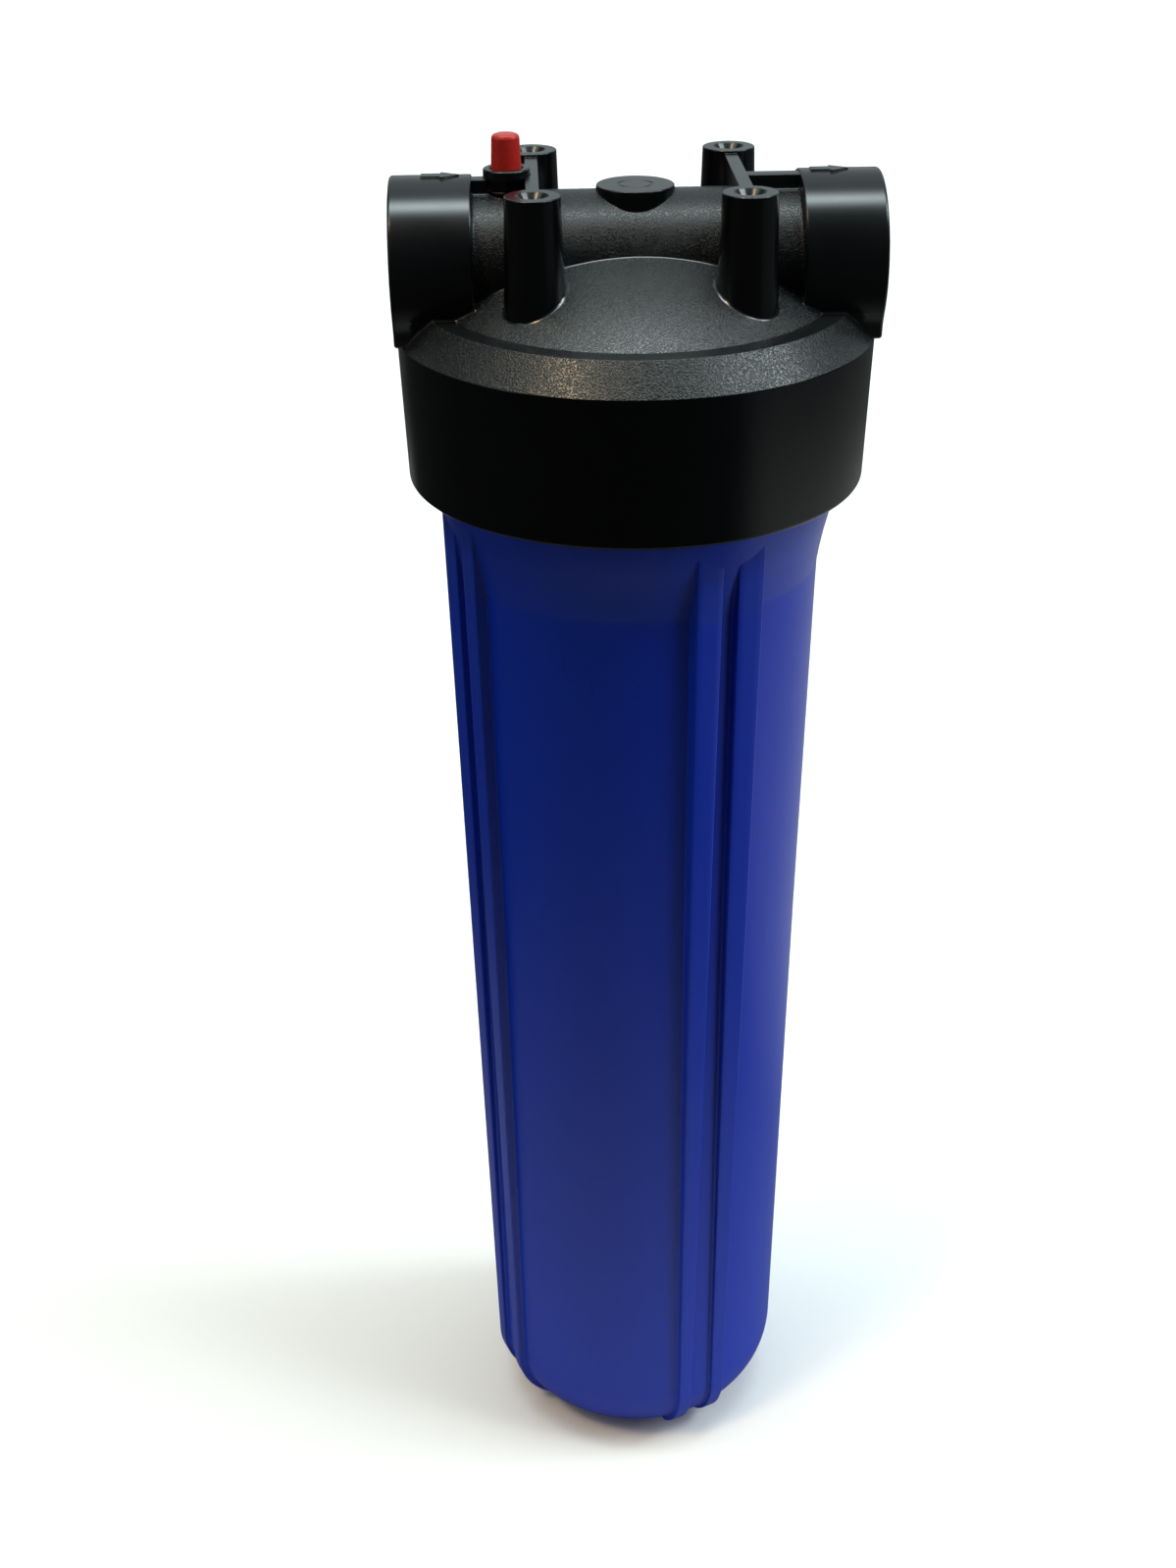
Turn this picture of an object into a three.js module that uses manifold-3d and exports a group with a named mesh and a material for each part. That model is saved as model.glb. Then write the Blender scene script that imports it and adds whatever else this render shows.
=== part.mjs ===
// Twenty-inch "large diameter" cartridge filter housing: head, screw-on sump,
// sump ring, pressure-relief valve and the pleated cartridge that stands inside.
// Units are millimetres, +Z is up, the ports lie along X (inlet at -X, outlet at +X),
// the origin is the middle of the flat disc under the sump.
// Pieces are modelled with z = 0 at the lower edge of the head's bevel, and addPiece lifts them.
import * as THREE from 'three';
import Module from 'manifold-3d';

const wasm = await Module();
wasm.setup();
const { Manifold, Mesh: ManifoldMesh } = wasm;

// ---------------------------------------------------------------- driving sizes
const BEVEL_HEIGHT = 543.6; // lower edge of the head's bevel above the sump's flat
const LARGE_FACETS = 32; // facets on the large turned surfaces
const SIDES = [-1, 1];
const DEGREE = Math.PI / 180;

const HEAD = { radius: 92.4, skirtRadius: 90.5, skirtDepth: 57 };
const BEVEL = { topRadius: 82.3, height: 11.4 };
const LEDGE_RADIUS = 74.3; // inner edge of the flat ledge, foot of the dome
const DOME = { centerZ: -91, radius: 126.5, wall: 7 };

const TUBE = { radius: 26, z: 26.2, halfLength: 70, boreRadius: 20 };
const COLLAR = { radius: 32, startX: 61.5, wallY: 25.4, footZ: 0.3 };
const PORT = { x: 92.25, mouthRadius: 23.4, endRadius: 22.5, depth: 27 };
const BORE_OVERLAP = 20; // how far in from the port face the tube's bores begin
const STANDPIPE_BORE = 13.5;

const BOSS = { x: 38.9, y: 40.9, topZ: 59.4, topRadius: 10.2, footRadius: 11.5 };
const BOSSES = SIDES.flatMap((sideX) => SIDES.map((sideY) => [sideX * BOSS.x, sideY * BOSS.y]));
const WEB = { topZ: 58.4, width: 5.2 };
const LONG_RIB = { topZ: 57.3, width: 7.0 };
const PAD = { topRadius: 14.65, footRadius: 16, topZ: 54.2 };
const ARROW = { x: 72.9, depth: 3.0, rise: 0.6 };
const RELIEF_X = -48.2;

// right-hand thread between sump and head
const THREAD = { pitch: 9.0, startZ: -50.9, facetsPerTurn: 32 };
const SUMP_THREAD = { rootRadius: 78.2, crestRadius: 81.3, embed: 0.7 };
const HEAD_THREAD = { crestRadius: 79.0, rootRadius: 82.1, overlap: 0.9 };
const LIP = { radius: 82.3, topZ: -45.6 }; // plain bore below the head's thread
const LAND_Z = -13.7; // sealing land in the head
const RIM_Z = -14.0; // upper rim of the sump

const BASE_Z = -BEVEL_HEIGHT;
const CORNER = { outerRadius: 36.8, innerRadius: 31 }; // rounding at the sump's foot
const CORNER_CENTER = [32, BASE_Z + CORNER.outerRadius];
const GROOVE = { inner: 71.5, outer: 76.5, floorZ: -19 }; // ring groove in the sump's rim
const RIBS = { pairs: 4, firstAzimuth: 24.5, topZ: -58 }; // degrees from -Y toward +X

const CARTRIDGE = { topZ: -17.7, bottomZ: -519.0, radius: 57, bore: 14.2 };
const GASKET = { radius: 25, thickness: 4.5 };
const CAP = { standoff: 4.8, thickness: 6, rimDepth: 13.5, rimInner: 55.4 };
const MEDIA_GAP = 0.3; // between the caps and what stands between them

const MATERIALS = {
  head: { color: 0x0b0c0e, roughness: 0.55 },
  sump: { color: 0x0d1f7a, roughness: 0.35 },
  rubber: { color: 0x111111, roughness: 0.7 },
  bonnet: { color: 0x0b0c0e, roughness: 0.45 },
  button: { color: 0xb02a20, roughness: 0.45 },
  stem: { color: 0xb9bcc0, roughness: 0.3, metalness: 1 },
  clip: { color: 0x9a9da2, roughness: 0.35, metalness: 1 },
  spring: { color: 0xa8abb0, roughness: 0.3, metalness: 1 },
  gasket: { color: 0xdedcd2, roughness: 0.8 },
  cap: { color: 0x1e5fae, roughness: 0.6 },
  core: { color: 0xd8dadc, roughness: 0.6 },
  media: { color: 0xe9e7df, roughness: 0.9 },
  band: { color: 0xf2f2ee, roughness: 0.8 },
};

// ---------------------------------------------------------------- solids and meshes
// Welds a closed geometry into a solid, turning it right side out if needed.
function toSolid(geometry) {
  const flat = geometry.index ? geometry.toNonIndexed() : geometry;
  const source = flat.getAttribute('position').array;
  const known = new Map();
  const vertices = [];
  const triangles = [];
  const weld = (i) => {
    const point = source.slice(3 * i, 3 * i + 3);
    const key = Array.from(point, (value) => Math.round(value * 1e4)).join();
    if (!known.has(key)) {
      known.set(key, vertices.length / 3);
      vertices.push(...point);
    }
    return known.get(key);
  };
  for (let i = 0; i < source.length / 3; i += 3) {
    const [a, b, c] = [weld(i), weld(i + 1), weld(i + 2)];
    if (a !== b && b !== c && a !== c) triangles.push(a, b, c);
  }
  const build = () => new Manifold(new ManifoldMesh({
    numProp: 3,
    vertProperties: new Float32Array(vertices),
    triVerts: new Uint32Array(triangles),
  }));
  const solid = build();
  if (solid.volume() >= 0) return solid;
  for (let i = 0; i < triangles.length; i += 3) {
    [triangles[i], triangles[i + 1]] = [triangles[i + 1], triangles[i]];
  }
  return build();
}

function toGeometry(solid) {
  const { vertProperties, triVerts } = solid.getMesh();
  const geometry = new THREE.BufferGeometry();
  geometry.setAttribute('position', new THREE.BufferAttribute(new Float32Array(vertProperties), 3));
  geometry.setIndex(new THREE.BufferAttribute(new Uint32Array(triVerts), 1));
  geometry.computeVertexNormals();
  return geometry;
}

const housing = new THREE.Group();
housing.name = 'cartridge_filter_housing';

function addPiece(name, solid, look) {
  const geometry = toGeometry(solid.simplify(0.015).translate([0, 0, BEVEL_HEIGHT]));
  const material = new THREE.MeshStandardMaterial({ ...look, name: `${name}_material` });
  const mesh = new THREE.Mesh(geometry, material);
  mesh.name = name;
  housing.add(mesh);
}

const join = (body, parts) => parts.reduce((sum, part) => sum.add(part), body);
const cut = (body, parts) => parts.reduce((rest, part) => rest.subtract(part), body);

// ---------------------------------------------------------------- shape helpers
const toVectors = (points) => points.map(([x, y]) => new THREE.Vector2(x, y));

const polar = (radius, angle, [x, y] = [0, 0]) =>
  [x + radius * Math.cos(angle), y + radius * Math.sin(angle)];

const polygon = (radius, sides, center) =>
  Array.from({ length: sides }, (_, i) => polar(radius, 2 * Math.PI * i / sides, center));

// points along an arc, angles in degrees
const arc = (center, radius, from, to, steps) => Array.from({ length: steps + 1 }, (_, i) =>
  polar(radius, (from + (to - from) * i / steps) * DEGREE, center));

// range along X between two distances from the middle, on the given side
const sideRange = (side, near, far) => (side > 0 ? [near, far] : [-far, -near]);

// closed profile of [r, z] points turned about the Z axis
function turnedGeometry(profile, segments) {
  const geometry = new THREE.LatheGeometry(toVectors([...profile, profile[0]]), segments);
  return geometry.rotateX(Math.PI / 2);
}

const turned = (profile, segments = LARGE_FACETS, x = 0, y = 0) =>
  toSolid(turnedGeometry(profile, segments).translate(x, y, 0));

// closed profile of [r, x] points turned about the cross tube's axis
const turnedOnTube = (profile, segments) =>
  toSolid(turnedGeometry(profile, segments).rotateY(Math.PI / 2).translate(0, 0, TUBE.z));

// upright cone or cylinder between two [r, z] points
const cone = ([r0, z0], [r1, z1], segments, x, y) =>
  turned([[0, z0], [r0, z0], [r1, z1], [0, z1]], segments, x, y);

const seal = (ringRadius, z, sectionRadius, segments) =>
  turned(polygon(sectionRadius, 6, [ringRadius, z]), segments);

function box([x0, x1], [y0, y1], [z0, z1]) {
  const geometry = new THREE.BoxGeometry(x1 - x0, y1 - y0, z1 - z0);
  return toSolid(geometry.translate((x0 + x1) / 2, (y0 + y1) / 2, (z0 + z1) / 2));
}

// extrudes a flat outline, then moves each vertex to where place(x, y, z) says
function extrude(outline, { depth = 1, steps = 1, hole, place }) {
  const shape = new THREE.Shape(toVectors(outline));
  if (hole) shape.holes.push(new THREE.Path(toVectors(hole)));
  const geometry = new THREE.ExtrudeGeometry(shape, { depth, steps, bevelEnabled: false });
  const position = geometry.getAttribute('position');
  for (let i = 0; i < position.count; i++) {
    position.setXYZ(i, ...place(position.getX(i), position.getY(i), position.getZ(i)));
  }
  return toSolid(geometry);
}

// Bar of the given [r, z] section wound on the thread's helix. Over `runout` turns
// at each end its height above rootRadius grows from nothing.
function threadBar(section, { turns, runout = 0, rootRadius = 0 }) {
  return extrude(section, {
    steps: Math.round(turns * THREAD.facetsPerTurn),
    place: (r, z, along) => {
      const turn = along * turns;
      const rise = runout > 0 ? Math.min(1, turn / runout, (turns - turn) / runout) : 1;
      const radius = r > rootRadius ? rootRadius + (r - rootRadius) * rise : r;
      return [...polar(radius, turn * 2 * Math.PI), THREAD.startZ + THREAD.pitch * turn + z];
    },
  });
}

// ---------------------------------------------------------------- head
function headShell() {
  const domeZ = (r, wall = 0) => DOME.centerZ + Math.sqrt((DOME.radius - wall) ** 2 - r * r);
  const outside = turned([
    ...[0, 28, 50, 64].map((r) => [r, domeZ(r)]),
    [LEDGE_RADIUS, BEVEL.height], [BEVEL.topRadius, BEVEL.height], [HEAD.radius, 0],
    [HEAD.skirtRadius, -HEAD.skirtDepth + 2], [HEAD.skirtRadius - 2, -HEAD.skirtDepth],
    [0, -HEAD.skirtDepth],
  ]);
  // room for the sump: lip, thread bore, sealing land, dirty-water chamber
  const room = turned([
    [0, -HEAD.skirtDepth - 1], [LIP.radius, -HEAD.skirtDepth - 1], [LIP.radius, LIP.topZ],
    [HEAD_THREAD.crestRadius, LIP.topZ], [HEAD_THREAD.crestRadius, LAND_Z], [69, LAND_Z],
    ...[69, 54, 32, 0].map((r) => [r, domeZ(r, DOME.wall)]),
  ]);
  const innerRadius = HEAD_THREAD.crestRadius - HEAD_THREAD.overlap;
  const threadGroove = threadBar([
    [innerRadius, -3.2], [HEAD_THREAD.rootRadius, -1.75],
    [HEAD_THREAD.rootRadius, 1.75], [innerRadius, 3.2],
  ], { turns: 3.375 });
  return cut(outside, [room, threadGroove]);
}

// Each collar is round above and runs down in two upright walls to the bevel's lower edge.
function collar(side) {
  const { radius, startX, wallY, footZ } = COLLAR;
  const round = turnedOnTube([
    [0, side * startX], [radius - 0.8, side * startX], [radius, side * (startX + 0.8)],
    [radius, side * (PORT.x - 1.2)], [radius - 1.2, side * PORT.x], [0, side * PORT.x],
  ], 32).subtract(box([-100, 100], [-40, 40], [-20, footZ]));
  // [y, z] section of the walls
  const section = [
    [-wallY + 0.8, footZ], [wallY - 0.8, footZ], [wallY, footZ + 0.8], [wallY, 6],
    [wallY + 1.4, 10], [wallY - 3, 20], [-wallY + 3, 20], [-wallY - 1.4, 10],
    [-wallY, 6], [-wallY, footZ + 0.8],
  ];
  const [low, high] = sideRange(side, startX, PORT.x);
  const walls = extrude(section, {
    depth: high - low,
    place: (y, z, along) => [low + along, y, z],
  });
  return round.add(walls);
}

const standpipe = () => turned([
  [0, 12], [20.5, 12], [20.5, -9], [18.3, -17.4], [17.3, -17.4], [13.5, -12.5], [13.5, -11],
  [0, -11],
], 24);

// web joining two bosses across Y, and the rib from it out to the collar
function websAndRibs(side) {
  const webX = side * BOSS.x;
  return [
    box([webX - WEB.width / 2, webX + WEB.width / 2], [-BOSS.y, BOSS.y], [20, WEB.topZ]),
    box(sideRange(side, BOSS.x, COLLAR.startX + 2),
      [-LONG_RIB.width / 2, LONG_RIB.width / 2], [48.5, LONG_RIB.topZ]),
  ];
}

// raised flow arrow on a collar, pointing from inlet to outlet
function flowArrow(side) {
  const outline = [
    [-7.3, -2.6], [0, -2.6], [0, -4.7], [7.2, 0], [0, 4.7], [0, 2.6], [-7.3, 2.6],
  ];
  const baseZ = TUBE.z + COLLAR.radius + ARROW.rise - ARROW.depth;
  return extrude(outline, {
    depth: ARROW.depth,
    place: (x, y, z) => [x + side * ARROW.x, y, z + baseZ],
  });
}

const portBore = (side) => turnedOnTube([
  [0, PORT.x + 1], [PORT.mouthRadius + 2.6, PORT.x + 1], [PORT.mouthRadius + 1.6, PORT.x],
  [PORT.mouthRadius, PORT.x - 1.6], [PORT.endRadius, PORT.x - PORT.depth],
  [0, PORT.x - PORT.depth],
].map(([r, x]) => [r, side * x]), 32);

const tubeSection = (radius, x0, x1, segments) =>
  turnedOnTube([[0, x0], [radius, x0], [radius, x1], [0, x1]], segments);

const screwHole = ([x, y]) => turned([
  [0, 36], [2.7, 36], [2.7, 55.6], [5.8, BOSS.topZ], [6.6, BOSS.topZ + 1], [0, BOSS.topZ + 1],
], 12, x, y);

function head() {
  const body = join(headShell(), [
    tubeSection(TUBE.radius, -TUBE.halfLength, TUBE.halfLength, 32),
    ...SIDES.map(collar),
    standpipe(),
    ...BOSSES.map(([x, y]) => cone([BOSS.footRadius, 14], [BOSS.topRadius, BOSS.topZ], 20, x, y)),
    ...SIDES.flatMap(websAndRibs),
    cone([PAD.footRadius, 44], [PAD.topRadius, PAD.topZ], 24), // gate pad
    cone([8.2, 47], [7.7, 53.3], 20, RELIEF_X), // relief boss
    ...SIDES.map(flowArrow),
  ]);
  return cut(body, [
    ...SIDES.map(portBore),
    tubeSection(TUBE.boreRadius, -PORT.x + BORE_OVERLAP, -24, 24), // inlet
    tubeSection(TUBE.boreRadius, -13.6, PORT.x - BORE_OVERLAP, 24), // outlet
    box([-59, -28], [-13, 13], [-1, 14]), // opening under the inlet bore
    cone([STANDPIPE_BORE, -20], [STANDPIPE_BORE, 20], 24),
    ...BOSSES.map(screwHole),
    cone([6.2, 40], [6.2, 60], 20, RELIEF_X), // relief valve bore
    // clearance round the bonnet's body and rim where the rib and the web run past it
    cone([8.1, 53.3], [8.1, 57], 20, RELIEF_X),
    cone([9.1, 56.9], [9.1, 60], 20, RELIEF_X),
  ]);
}
addPiece('head', head(), MATERIALS.head);

// ---------------------------------------------------------------- sump
function sumpShell() {
  const { inner, outer, floorZ } = GROOVE;
  return turned([
    // ring groove and rim
    [inner, RIM_Z], [inner, floorZ], [outer, floorZ], [outer, RIM_Z],
    // outside, downwards
    [SUMP_THREAD.rootRadius, RIM_Z], [SUMP_THREAD.rootRadius, -50.2], [81.4, -52],
    [81.3, -57], [79.9, -66], [78.2, -73.5], [76.9, -79], [75.6, -86], [74.6, -92.6],
    [74.3, -103], [71.8, -255],
    ...arc(CORNER_CENTER, CORNER.outerRadius, 0, -90, 7), [0, BASE_Z],
    // inside, upwards
    [0, BASE_Z + CORNER.outerRadius - CORNER.innerRadius],
    ...arc(CORNER_CENTER, CORNER.innerRadius, -90, 0, 6),
    [66.2, -255], [68.3, -103], [69.8, -92], [69.8, RIM_Z],
  ]);
}

function sumpThread() {
  const { crestRadius, embed } = SUMP_THREAD;
  const rootRadius = SUMP_THREAD.rootRadius - embed;
  return threadBar([
    [rootRadius, -2.4], [crestRadius, -1.15], [crestRadius, 1.15], [rootRadius, 2.4],
  ], { turns: 3.0625, runout: 0.125, rootRadius });
}

// seat for the cartridge on the floor
const cartridgeSeat = () => turned([
  [13.5, BASE_Z + 5], [20.5, BASE_Z + 5],
  [18.3, CARTRIDGE.bottomZ - 0.3], [17.3, CARTRIDGE.bottomZ - 0.3],
  [15.4, CARTRIDGE.bottomZ - 6], [13.5, CARTRIDGE.bottomZ - 8],
], 28);

// Ribs taper evenly down the sump: sizes are given at z = -100 and z = -500.
const taper = (upper, lower) => (z) => upper + (lower - upper) * (z + 100) / -400;
const ribFace = taper(78.1, 70.8); // outer face, out from the axis along the pair's direction
const ribInner = taper(3.45, 5.5); // sides of a rib, off the pair's centre plane
const ribOuter = taper(14.45, 12.0);

// one rib of a pair; the outer faces of a pair lie in one plane
function stiffeningRib(azimuth, side) {
  const [cornerX, cornerZ] = CORNER_CENTER;
  const outline = [ // [distance out, z]
    [62, RIBS.topZ], [ribFace(RIBS.topZ), RIBS.topZ], [ribFace(cornerZ), cornerZ],
    ...arc(CORNER_CENTER, ribFace(cornerZ) - cornerX, -9, -54, 5),
    ...arc(CORNER_CENTER, 34, -58, -20, 3), [64, cornerZ + 4], [66, -300],
  ];
  const sin = Math.sin(azimuth * DEGREE);
  const cos = Math.cos(azimuth * DEGREE);
  return extrude(outline, {
    place: (out, z, across) => {
      const offset = side * (ribInner(z) + (ribOuter(z) - ribInner(z)) * across);
      return [sin * out + cos * offset, -cos * out + sin * offset, z];
    },
  });
}

function sump() {
  const ribs = Array.from({ length: RIBS.pairs }, (_, i) =>
    SIDES.map((side) => stiffeningRib(RIBS.firstAzimuth + i * 360 / RIBS.pairs, side))).flat();
  return join(sumpShell(), [sumpThread(), cartridgeSeat(), ...ribs]);
}
addPiece('sump', sump(), MATERIALS.sump);

addPiece('main_o_ring', seal((GROOVE.inner + GROOVE.outer) / 2, -16.6, 2.0, 32),
  MATERIALS.rubber);

// ---------------------------------------------------------------- pressure-relief valve
const bonnet = () => turned([
  [2.0, 46.6], [5.6, 46.6], [5.6, 49.0], [4.0, 49.0], [4.0, 51.2], [5.6, 51.2], [5.6, 53.6],
  [7.7, 53.6], [7.7, 57.2], [8.5, 57.2], [8.8, 57.6], [8.8, 60.5], [8.3, 61.0], [6.3, 61.0],
  [6.3, 54.4], [2.0, 54.4],
], 16);

const button = () => turned([
  [4.2, 57.4], [5.85, 57.4], [5.2, 71.9], [4.75, 72.8], [3.6, 73.3], [0, 73.3], [0, 71.7],
  [1.9, 71.7], [1.9, 68.0], [4.2, 68.0],
], 20);

const stem = () => turned([
  [0, 42.2], [1.6, 42.2], [1.6, 43.5], [1.1, 43.5], [1.1, 44.3], [1.6, 44.3], [1.6, 71.3],
  [0, 71.3],
], 12);

// open retaining clip in the stem's groove
function stemClip() {
  const steps = 14;
  const halfGap = 0.55; // radians, gap toward +X
  const angles = Array.from({ length: steps + 1 }, (_, i) =>
    halfGap + (2 * Math.PI - 2 * halfGap) * i / steps);
  const outer = angles.map((angle) => polar(3.0, angle));
  const inner = angles.map((angle) => polar(1.35, angle)).reverse();
  return extrude([...outer, ...inner], { depth: 0.5, place: (x, y, z) => [x, y, z + 43.65] });
}

// return spring round the stem
function returnSpring() {
  const turns = 5.5;
  const coilRadius = 3.15;
  const wireRadius = 0.42;
  const [bottomZ, topZ] = [55.15, 67.25];
  return extrude(polygon(wireRadius, 4), {
    steps: 44,
    place: (r, z, along) => [
      ...polar(coilRadius + r, along * turns * 2 * Math.PI),
      bottomZ + (topZ - bottomZ) * along + z,
    ],
  });
}

for (const [part, solid, look] of [
  ['bonnet', bonnet(), MATERIALS.bonnet],
  ['bonnet_seal', seal(5.1, 50.1, 0.75, 18), MATERIALS.rubber],
  ['button', button(), MATERIALS.button],
  ['stem', stem(), MATERIALS.stem],
  ['stem_seal', seal(2.9, 45.5, 0.75, 16), MATERIALS.rubber],
  ['stem_clip', stemClip(), MATERIALS.clip],
  ['spring', returnSpring(), MATERIALS.spring],
]) addPiece(`relief_${part}`, solid.translate([RELIEF_X, 0, 0]), look);

// ---------------------------------------------------------------- cartridge
// `inward` is the direction along Z from an end face into the cartridge
const TOP = { name: 'top', faceZ: CARTRIDGE.topZ, inward: -1 };
const BOTTOM = { name: 'bottom', faceZ: CARTRIDGE.bottomZ, inward: 1 };

const capFaceZ = ({ faceZ, inward }) => faceZ + inward * CAP.standoff;
const mediaEndZ = (end) => capFaceZ(end) + end.inward * CAP.thickness + end.inward * MEDIA_GAP;
const MEDIA_BOTTOM = mediaEndZ(BOTTOM);
const MEDIA_TOP = mediaEndZ(TOP);
const MEDIA_HEIGHT = MEDIA_TOP - MEDIA_BOTTOM;

// heights of the middles of equal parts of the media
const mediaStations = (count) => Array.from({ length: count }, (_, i) =>
  MEDIA_BOTTOM + MEDIA_HEIGHT * (i + 0.5) / count);

// square-section ring
const hoop = (inner, outer, z0, z1, segments) =>
  turned([[inner, z0], [outer, z0], [outer, z1], [inner, z1]], segments);

const endGasket = ({ faceZ, inward }) =>
  hoop(CARTRIDGE.bore, GASKET.radius, faceZ, faceZ + inward * GASKET.thickness, 24);

function endCap(end) {
  const outerZ = capFaceZ(end);
  const innerZ = outerZ + end.inward * CAP.thickness;
  const rimZ = outerZ + end.inward * CAP.rimDepth;
  return turned([
    [CARTRIDGE.bore, outerZ], [CARTRIDGE.radius, outerZ], [CARTRIDGE.radius, rimZ],
    [CAP.rimInner, rimZ], [CAP.rimInner, innerZ], [CARTRIDGE.bore, innerZ],
  ], 32);
}

// core tube with rows of four slots
function core() {
  const slots = mediaStations(6).flatMap((z) => [
    box([-20, 20], [-3, 3], [z - 26, z + 26]),
    box([-3, 3], [-20, 20], [z - 26, z + 26]),
  ]);
  return cut(hoop(16.2, 18.6, MEDIA_BOTTOM, MEDIA_TOP, 20), slots);
}

function pleatedMedia() {
  const pleats = 40;
  const step = 360 / pleats;
  // repeats [r, degrees] points once per pleat
  const repeat = (points) => Array.from({ length: pleats }, (_, i) =>
    points.map(([r, angle]) => polar(r, (i * step + angle) * DEGREE))).flat();
  const outside = [[54.6, -0.95], [54.6, 0.95], [22.5, step / 2 - 0.4], [22.5, step / 2 + 0.4]];
  const inside = [[19.2, -2.4], [53.4, 0], [19.2, 2.4]];
  return extrude(repeat(outside), {
    depth: MEDIA_HEIGHT,
    hole: repeat(inside),
    place: (x, y, z) => [x, y, z + MEDIA_BOTTOM],
  });
}

for (const end of [TOP, BOTTOM]) {
  addPiece(`cartridge_${end.name}_gasket`, endGasket(end), MATERIALS.gasket);
}
for (const end of [TOP, BOTTOM]) {
  addPiece(`cartridge_${end.name}_cap`, endCap(end), MATERIALS.cap);
}
addPiece('cartridge_core', core(), MATERIALS.core);
addPiece('cartridge_media', pleatedMedia(), MATERIALS.media);
mediaStations(4).forEach((z, i) => {
  addPiece(`cartridge_band_${i + 1}`, hoop(55.4, 56.4, z - 3, z + 3, 24), MATERIALS.band);
});

export default housing;
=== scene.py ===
# Large cartridge filter housing: moulded head with two ports, screw-on ribbed sump,
# pressure-relief valve and the pleated cartridge inside.
# The housing stands along Z, its ports open towards -X and +X, and the camera looks from -Y.
# Geometry is in millimetres, with heights measured from the lower edge of the head's bevel.
# finish_mesh turns it into metres above the floor.
from math import acos, atan2, cos, degrees, hypot, pi, radians, sin, sqrt, tan

import bpy
import numpy as np
from mathutils import Matrix, Vector


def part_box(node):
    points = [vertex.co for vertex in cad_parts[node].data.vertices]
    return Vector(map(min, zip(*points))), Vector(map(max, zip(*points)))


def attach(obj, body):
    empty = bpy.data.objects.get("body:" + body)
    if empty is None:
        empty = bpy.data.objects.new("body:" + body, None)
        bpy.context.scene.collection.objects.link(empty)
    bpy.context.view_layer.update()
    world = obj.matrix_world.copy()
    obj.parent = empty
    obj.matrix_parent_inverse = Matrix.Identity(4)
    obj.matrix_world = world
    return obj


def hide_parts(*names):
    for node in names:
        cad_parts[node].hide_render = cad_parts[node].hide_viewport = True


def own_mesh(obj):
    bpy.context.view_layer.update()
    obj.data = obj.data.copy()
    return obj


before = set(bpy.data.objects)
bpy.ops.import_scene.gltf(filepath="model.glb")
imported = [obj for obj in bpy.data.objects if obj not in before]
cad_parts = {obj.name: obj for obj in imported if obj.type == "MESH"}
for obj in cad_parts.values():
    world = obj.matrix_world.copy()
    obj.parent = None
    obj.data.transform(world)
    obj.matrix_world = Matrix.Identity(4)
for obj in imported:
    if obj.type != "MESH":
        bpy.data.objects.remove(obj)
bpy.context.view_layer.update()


def cad_box(node):
    low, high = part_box(node)
    return np.array(low) * 1000, np.array(high) * 1000


head_high = cad_box("head")[1]
bonnet_low, bonnet_high = cad_box("relief_bonnet")
BEVEL_BASE = head_high[2] - 59.4               # world height of the bevel's lower edge
PORT_END_X = head_high[0] - 0.15
RELIEF_X = float(bonnet_low[0] + bonnet_high[0]) / 2
SUMP_BOTTOM = cad_box("sump")[0][2] - BEVEL_BASE
SIDES = (-1, 1)
CORNERS = [(side_x, side_y) for side_x in SIDES for side_y in SIDES]


# ------------------------------------------------------------------ outlines
def arc(centre_a, centre_b, radius, start, end, steps):
    """Points of an arc between two angles in degrees."""
    angles = [radians(start + (end - start) * i / steps) for i in range(steps + 1)]
    return [(centre_a + radius * cos(t), centre_b + radius * sin(t)) for t in angles]


def shortest_turn(start, end):
    return (end - start + pi) % (2 * pi) - pi


def rounded(points, steps=4):
    """Closed outline of (a, b) or (a, b, radius): corners with a radius become arcs."""
    outline = []
    for i, point in enumerate(points):
        corner = np.array(point[:2], float)
        if len(point) < 3:
            outline.append((corner[0], corner[1]))
            continue
        before = np.array(points[i - 1][:2], float) - corner
        after = np.array(points[(i + 1) % len(points)][:2], float) - corner
        length_before, length_after = np.linalg.norm(before), np.linalg.norm(after)
        before /= length_before
        after /= length_after
        angle = acos(max(-1, min(1, float(before @ after))))
        if angle > pi - 1e-3:
            outline.append((corner[0], corner[1]))
            continue
        # the arc may use up just under half of either edge
        reach = min(point[2] / tan(angle / 2), 0.49 * length_before, 0.49 * length_after)
        radius = reach * tan(angle / 2)
        bisector = (before + after) / np.linalg.norm(before + after)
        centre = corner + bisector * radius / sin(angle / 2)
        first = corner + before * reach - centre
        last = corner + after * reach - centre
        start = atan2(first[1], first[0])
        turn = shortest_turn(start, atan2(last[1], last[0]))
        for k in range(steps + 1):
            t = start + turn * k / steps
            outline.append((centre[0] + radius * cos(t), centre[1] + radius * sin(t)))
    return outline


def signed_area(outline):
    return sum(outline[i - 1][0] * outline[i][1] - outline[i][0] * outline[i - 1][1]
               for i in range(len(outline))) / 2


# ------------------------------------------------------------------ solids
AXIS_Z = np.eye(3)
AXIS_X = np.array([[0, 1, 0], [0, 0, 1], [1, 0, 0]], float)   # local z runs along world X


class Solid:
    def __init__(self, vertices, faces):
        self.vertices, self.faces = np.array(vertices, float), faces


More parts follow.
